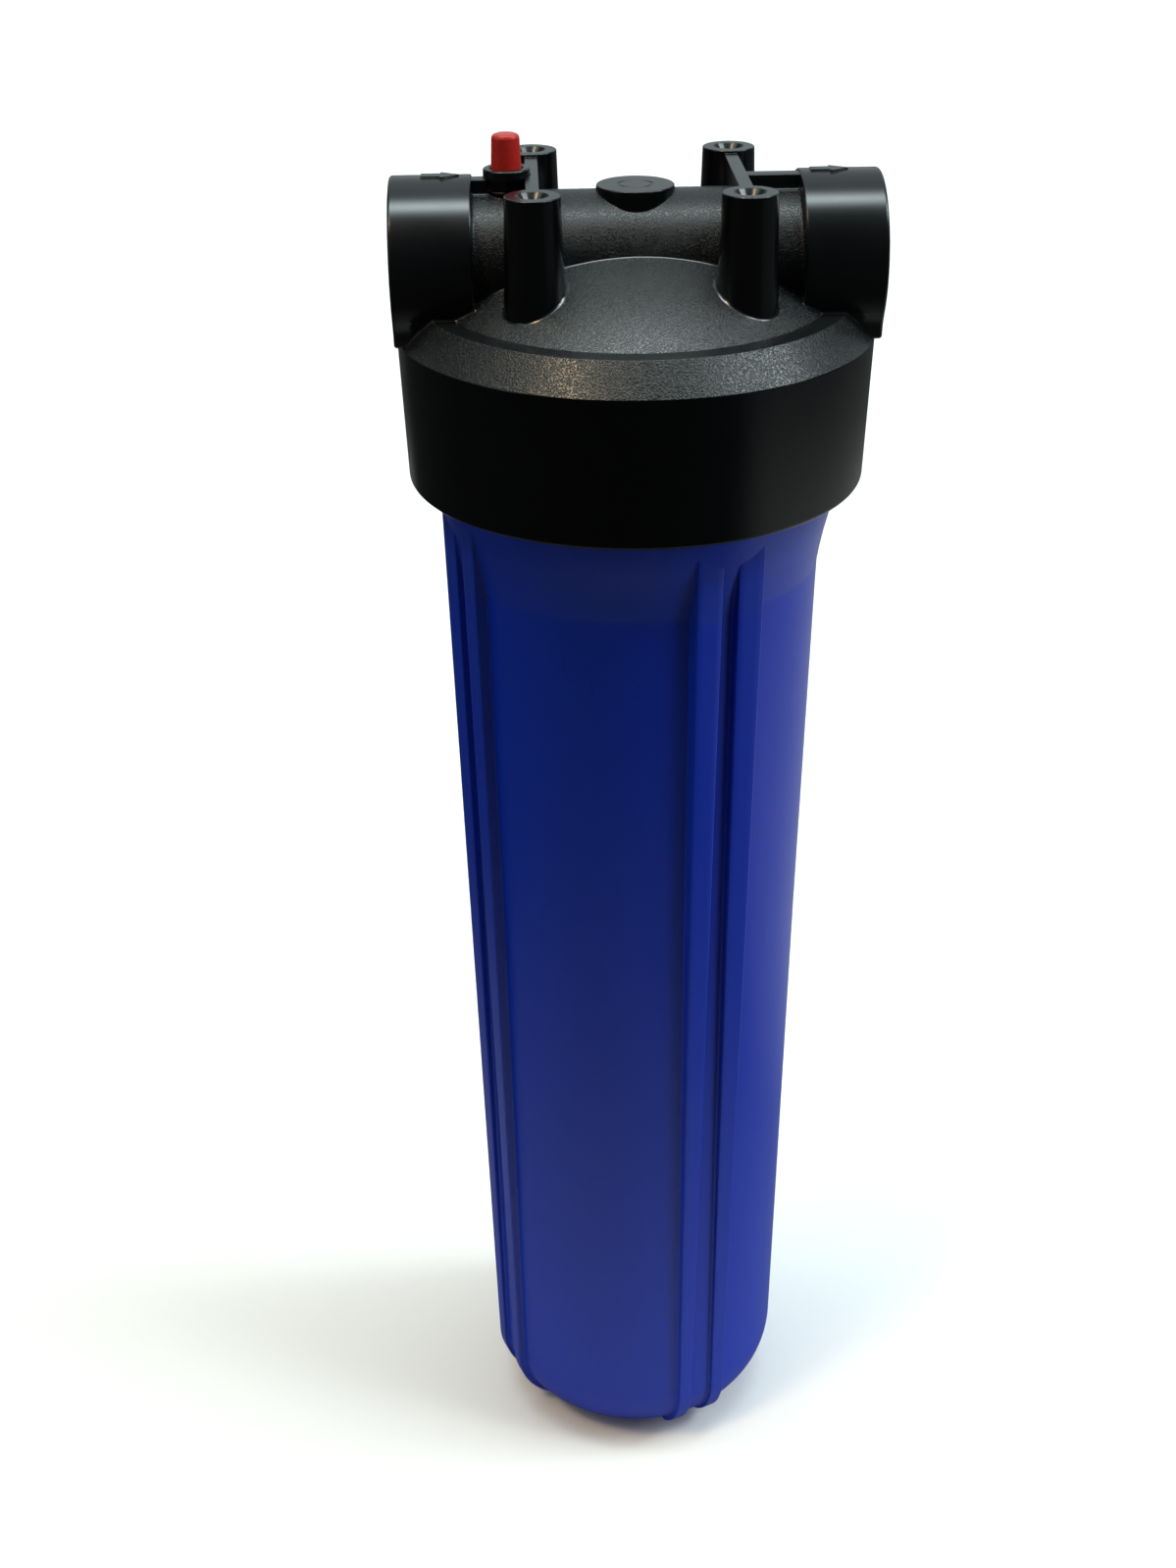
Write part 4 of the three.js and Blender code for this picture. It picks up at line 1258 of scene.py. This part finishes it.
def perforated_core(inner_r=16.2, outer_r=18.6, rows=44, columns=14):
    """Tube with windows all round, built as one closed wall."""
    row_marks, column_marks = (0.0, 0.22, 0.78, 1), (0.0, 0.24, 0.76, 1.0)
    vertices, faces, known = [], [], {}
    sector, row_height = 2 * pi / columns, (MEDIA_TOP - MEDIA_BOTTOM) / rows

    def vertex(column, fraction, radius, z):
        """Index of a vertex, shared between neighbouring cells."""
        a = (column + fraction) * sector
        key = (round((a % (2 * pi)) * 1e5) % 628319, round(radius * 1e4), round(z * 1e3))
        if key not in known:
            known[key] = len(vertices)
            vertices.append((radius * cos(a), radius * sin(a), z))
        return known[key]

    for i in range(rows):
        z = [MEDIA_BOTTOM + row_height * (i + mark) for mark in row_marks]
        s = column_marks
        for j in range(columns):
            for radius, flip in ((outer_r, False), (inner_r, True)):
                for a in range(3):
                    for b in range(3):
                        if a == 1 and b == 1:
                            continue
                        face = (vertex(j, s[b], radius, z[a]),
                                vertex(j, s[b + 1], radius, z[a]),
                                vertex(j, s[b + 1], radius, z[a + 1]),
                                vertex(j, s[b], radius, z[a + 1]))
                        faces.append(face[::-1] if flip else face)
            window = [(s[1], z[1]), (s[2], z[1]), (s[2], z[2]), (s[1], z[2])]
            for k in range(4):
                p, q = window[k], window[(k + 1) % 4]
                faces.append((vertex(j, p[0], outer_r, p[1]), vertex(j, p[0], inner_r, p[1]),
                              vertex(j, q[0], inner_r, q[1]),
                              vertex(j, q[0], outer_r, q[1]))[::-1])
    for j in range(columns):
        for start, end in zip(column_marks, column_marks[1:]):
            for z, flip in ((MEDIA_TOP, False), (MEDIA_BOTTOM, True)):
                face = (vertex(j, start, outer_r, z), vertex(j, end, outer_r, z),
                        vertex(j, end, inner_r, z), vertex(j, start, inner_r, z))
                faces.append(face[::-1] if flip else face)
    return outward(Solid(vertices, faces))


def pleats(count=90, outer_r=54.3, inner_r=20.0, half_thickness=0.22, rows=25):
    """Closed zigzag sheet of constant thickness, gently wavy along its length."""
    pitch = 2 * pi / count
    line = []
    for i in range(count):
        a = i * pitch
        line += [(outer_r, a - pitch * 0.10), (outer_r + 0.25, a), (outer_r, a + pitch * 0.10),
                 (inner_r + 0.4, a + pitch * 0.42), (inner_r, a + pitch * 0.5),
                 (inner_r + 0.4, a + pitch * 0.58)]
    middle = np.array([(radius * cos(a), radius * sin(a)) for radius, a in line])
    d = np.roll(middle, -1, 0) - np.roll(middle, 1, 0)
    normals = np.stack([d[:, 1], -d[:, 0]], 1) / np.linalg.norm(d, axis=1)[:, None]
    m = len(middle)
    vertices, faces = [], []
    for k, z in enumerate(np.linspace(MEDIA_BOTTOM, MEDIA_TOP, rows)):
        wave = 0.0 if k in (0, rows - 1) else 1.0
        for skin in (middle + normals * half_thickness, middle - normals * half_thickness):
            radius = np.hypot(skin[:, 0], skin[:, 1])
            a = np.arctan2(skin[:, 1], skin[:, 0])
            a = a + wave * 0.0022 * np.sin(z * 0.11 + 5 * np.sin(3 * a)) * (radius / 54)
            vertices.extend(zip(radius * np.cos(a), radius * np.sin(a), np.full(m, z)))
    for k in range(rows - 1):
        low, high = k * 2 * m, (k + 1) * 2 * m
        for j in range(m):
            q = (j + 1) % m
            faces.append((low + j, low + q, high + q, high + j))
            faces.append((low + m + j, high + m + j, high + m + q, low + m + q))
    for base, flip in ((0, True), ((rows - 1) * 2 * m, False)):
        for j in range(m):
            q = (j + 1) % m
            face = (base + j, base + q, base + m + q, base + m + j)
            faces.append(face[::-1] if flip else face)
    return outward(Solid(vertices, faces))


piece("cartridge_core_tube", perforated_core(), core_white, "sump_body",
      "cartridge_core", 40)
piece("cartridge_pleated_media", pleats(), paper, "sump_body",
      "cartridge_media", 50)
for i in range(4):
    z = MEDIA_BOTTOM + (MEDIA_TOP - MEDIA_BOTTOM) * (i + 0.5) / 4
    band = rounded([(55.4, z - 3, 0.2), (56.4, z - 3, 0.3), (56.4, z + 3, 0.3),
                    (55.4, z + 3, 0.2)], 3)
    piece(f"cartridge_wrap_band_{i + 1}", Turned(band, 128), band_white, "sump_body",
          f"cartridge_band_{i + 1}")


# ------------------------------------------------------------------ floor
FLOOR_HALF, FLOOR_Z = 9, -0.0006


def floor_material():
    """Even to the camera; for reflections and thrown light the floor's colour is painted light,
    with a brightness of its own.
    """
    m = Material("studio_floor")
    to_camera = m.mix(m.noise(scale=3), (0.70, 0.69, 0.685), (0.72, 0.71, 0.705))
    ray = m.add("ShaderNodeLightPath").outputs
    distance = m.add("ShaderNodeVectorMath", {0: m.position},
                     operation="LENGTH").outputs["Value"]
    axes = m.add("ShaderNodeSeparateXYZ", {"Vector": m.position}).outputs
    # in reflections, painted light: bright close by, dark further out, with a grey patch towards +X
    # and +Y
    near = m.map_range(distance, 0.10, 0.60, to_min=0.155, to_max=0.010)
    diagonal = m.math("ADD", m.math("MULTIPLY", axes["X"], 0.75),
                      m.math("MULTIPLY", axes["Y"], 0.66))
    rear = m.math("MULTIPLY", m.map_range(diagonal, 0.05, 0.45, to_min=0.0, to_max=0.25),
                  m.map_range(distance, 0.95, 1.6, to_min=1.0, to_max=0.15))
    reflected = m.math("MAXIMUM", near, rear)
    # painted pool of thrown light: brighter close by, fading further out
    thrown = m.map_range(distance, 0.12, 0.70, to_min=0.68, to_max=0.05)
    unseen = m.mix(ray["Is Glossy Ray"], thrown, reflected)
    m.surface(Base_Color=m.mix(ray["Is Camera Ray"], unseen, to_camera), Roughness=0.9,
              Specular_IOR_Level=0.1)
    return m.material


floor_mesh = new_mesh("studio_floor", Solid(
    [(-FLOOR_HALF, -FLOOR_HALF, FLOOR_Z), (FLOOR_HALF, -FLOOR_HALF, FLOOR_Z),
     (FLOOR_HALF, FLOOR_HALF, FLOOR_Z), (-FLOOR_HALF, FLOOR_HALF, FLOOR_Z)], [(0, 1, 2, 3)]))
floor_mesh.materials.append(floor_material())
new_object("studio_floor", floor_mesh)

# ------------------------------------------------------------------ world
# soft panels by the direction they lie in: (x, y, width in x, width in y, strength)
COOL_PANELS = [
    (0.0, 0.03, 0.42, 0.13, 14.5),             # overhead
    (0.0, 0.15, 0.50, 0.42, 1.05),             # its wide halo
    (0.55, -0.20, 0.08, 0.09, 27.0),           # right, towards the front
    (0.72, 0.02, 0.08, 0.09, 31.0),            # right
    (-0.84, -0.36, 0.12, 0.12, 1.5)]           # low on the left, towards the front
WARM_PANEL = (-0.40, -0.30, 0.075, 0.085, 52.0)    # left, towards the front
COOL, WARM, WHITE = (0.84, 0.98, 1.0, 1), (1.0, 0.76, 0.46, 1), (1, 1, 1, 1)
AMBIENT = 0.012


def build_world():
    world = bpy.data.worlds.new("studio")
    bpy.context.scene.world = world
    world.use_nodes = True
    w = Nodes(world.node_tree)
    direction = w.add("ShaderNodeTexCoord").outputs["Generated"]
    axes = w.add("ShaderNodeSeparateXYZ", {0: direction}).outputs

    def panel(x, y, width_x, width_y, strength):
        """Bell-shaped patch of light, faded out at the horizon."""
        dx = w.math("DIVIDE", w.math("SUBTRACT", axes["X"], x), width_x)
        dy = w.math("DIVIDE", w.math("SUBTRACT", axes["Y"], y), width_y)
        squared = w.math("ADD", w.math("MULTIPLY", dx, dx), w.math("MULTIPLY", dy, dy))
        bell = w.math("POWER", 2.71828, w.math("MULTIPLY", squared, -1.0))
        return w.math("MULTIPLY", w.math("MULTIPLY", bell, strength),
                      w.map_range(axes["Z"], 0.0, 0.12))

    def background(colour, strength):
        node = w.add("ShaderNodeBackground", {"Color": colour, "Strength": strength})
        return node.outputs[0]

    # a paler wall behind, weaker on the left
    wall = w.math("MULTIPLY", w.map_range(axes["Y"], 0.35, 0.65, to_max=0.50),
                  w.map_range(axes["Z"], -0.05, 0.10))
    wall = w.math("MULTIPLY", wall, w.map_range(axes["X"], -0.65, -0.35, to_min=0.25))
    first, *others = [panel(*values) for values in COOL_PANELS]
    level = first
    for term in [*others, wall, AMBIENT]:
        level = w.math("ADD", level, term)
    lighting = w.add("ShaderNodeAddShader", {0: background(COOL, level),
                                             1: background(WARM, panel(*WARM_PANEL))})
    # the camera itself sees plain white
    is_camera = w.add("ShaderNodeLightPath").outputs["Is Camera Ray"]
    mixed = w.add("ShaderNodeMixShader", {0: is_camera, 1: lighting.outputs[0],
                                          2: background(WHITE, 1.0)})
    w.add("ShaderNodeOutputWorld", {"Surface": mixed.outputs[0]})


build_world()


# ------------------------------------------------------------------ lights and camera
LIGHT_TARGET = (0, 0, 0.35)


def area_light(name, location, width, height, power):
    """Rectangular light aimed at the housing, hidden from camera and reflections."""
    light = bpy.data.lights.new(name, "AREA")
    light.shape, light.size, light.size_y, light.energy = "RECTANGLE", width, height, power
    obj = bpy.data.objects.new(name, light)
    obj.location = location
    aim = Vector(LIGHT_TARGET) - Vector(location)
    obj.rotation_euler = aim.to_track_quat("-Z", "Y").to_euler()
    bpy.context.scene.collection.objects.link(obj)
    obj.visible_camera = obj.visible_glossy = False


area_light("right_softbox", (1.35, -0.45, 0.80), width=0.6, height=0.8, power=8)
area_light("left_strip", (-1.45, -0.30, 0.80), width=0.35, height=0.8, power=2.0)

# yaw turns towards +X and pitch downwards, roll is about the line of sight; radians
CAMERA_YAW, CAMERA_PITCH, CAMERA_ROLL = 0.0270745, 0.5099768, -0.0127678
CAMERA_PLACE = (-0.0407293, -0.7429714, (212.3827 + BEVEL_BASE) / 1000)


def build_camera():
    data = bpy.data.cameras.new("camera")
    data.sensor_fit, data.sensor_width = "AUTO", 36.0
    data.lens = 44.44712195
    data.clip_start, data.clip_end = 0.02, 60
    forward = np.array([sin(CAMERA_YAW) * cos(CAMERA_PITCH), cos(CAMERA_YAW) * cos(CAMERA_PITCH),
                        -sin(CAMERA_PITCH)])
    level_right = np.array([cos(CAMERA_YAW), -sin(CAMERA_YAW), 0.0])
    level_up = np.cross(level_right, forward)
    right = cos(CAMERA_ROLL) * level_right + sin(CAMERA_ROLL) * level_up
    up = -sin(CAMERA_ROLL) * level_right + cos(CAMERA_ROLL) * level_up
    matrix = Matrix.Identity(4)
    for i in range(3):
        for column, vector in enumerate((right, up, -forward, CAMERA_PLACE)):
            matrix[i][column] = vector[i]
    camera = bpy.data.objects.new("camera", data)
    camera.matrix_world = matrix
    bpy.context.scene.collection.objects.link(camera)
    bpy.context.scene.camera = camera


build_camera()
view = bpy.context.scene.view_settings
view.view_transform, view.look, view.exposure, view.gamma = "Standard", "None", 0.0, 1.0
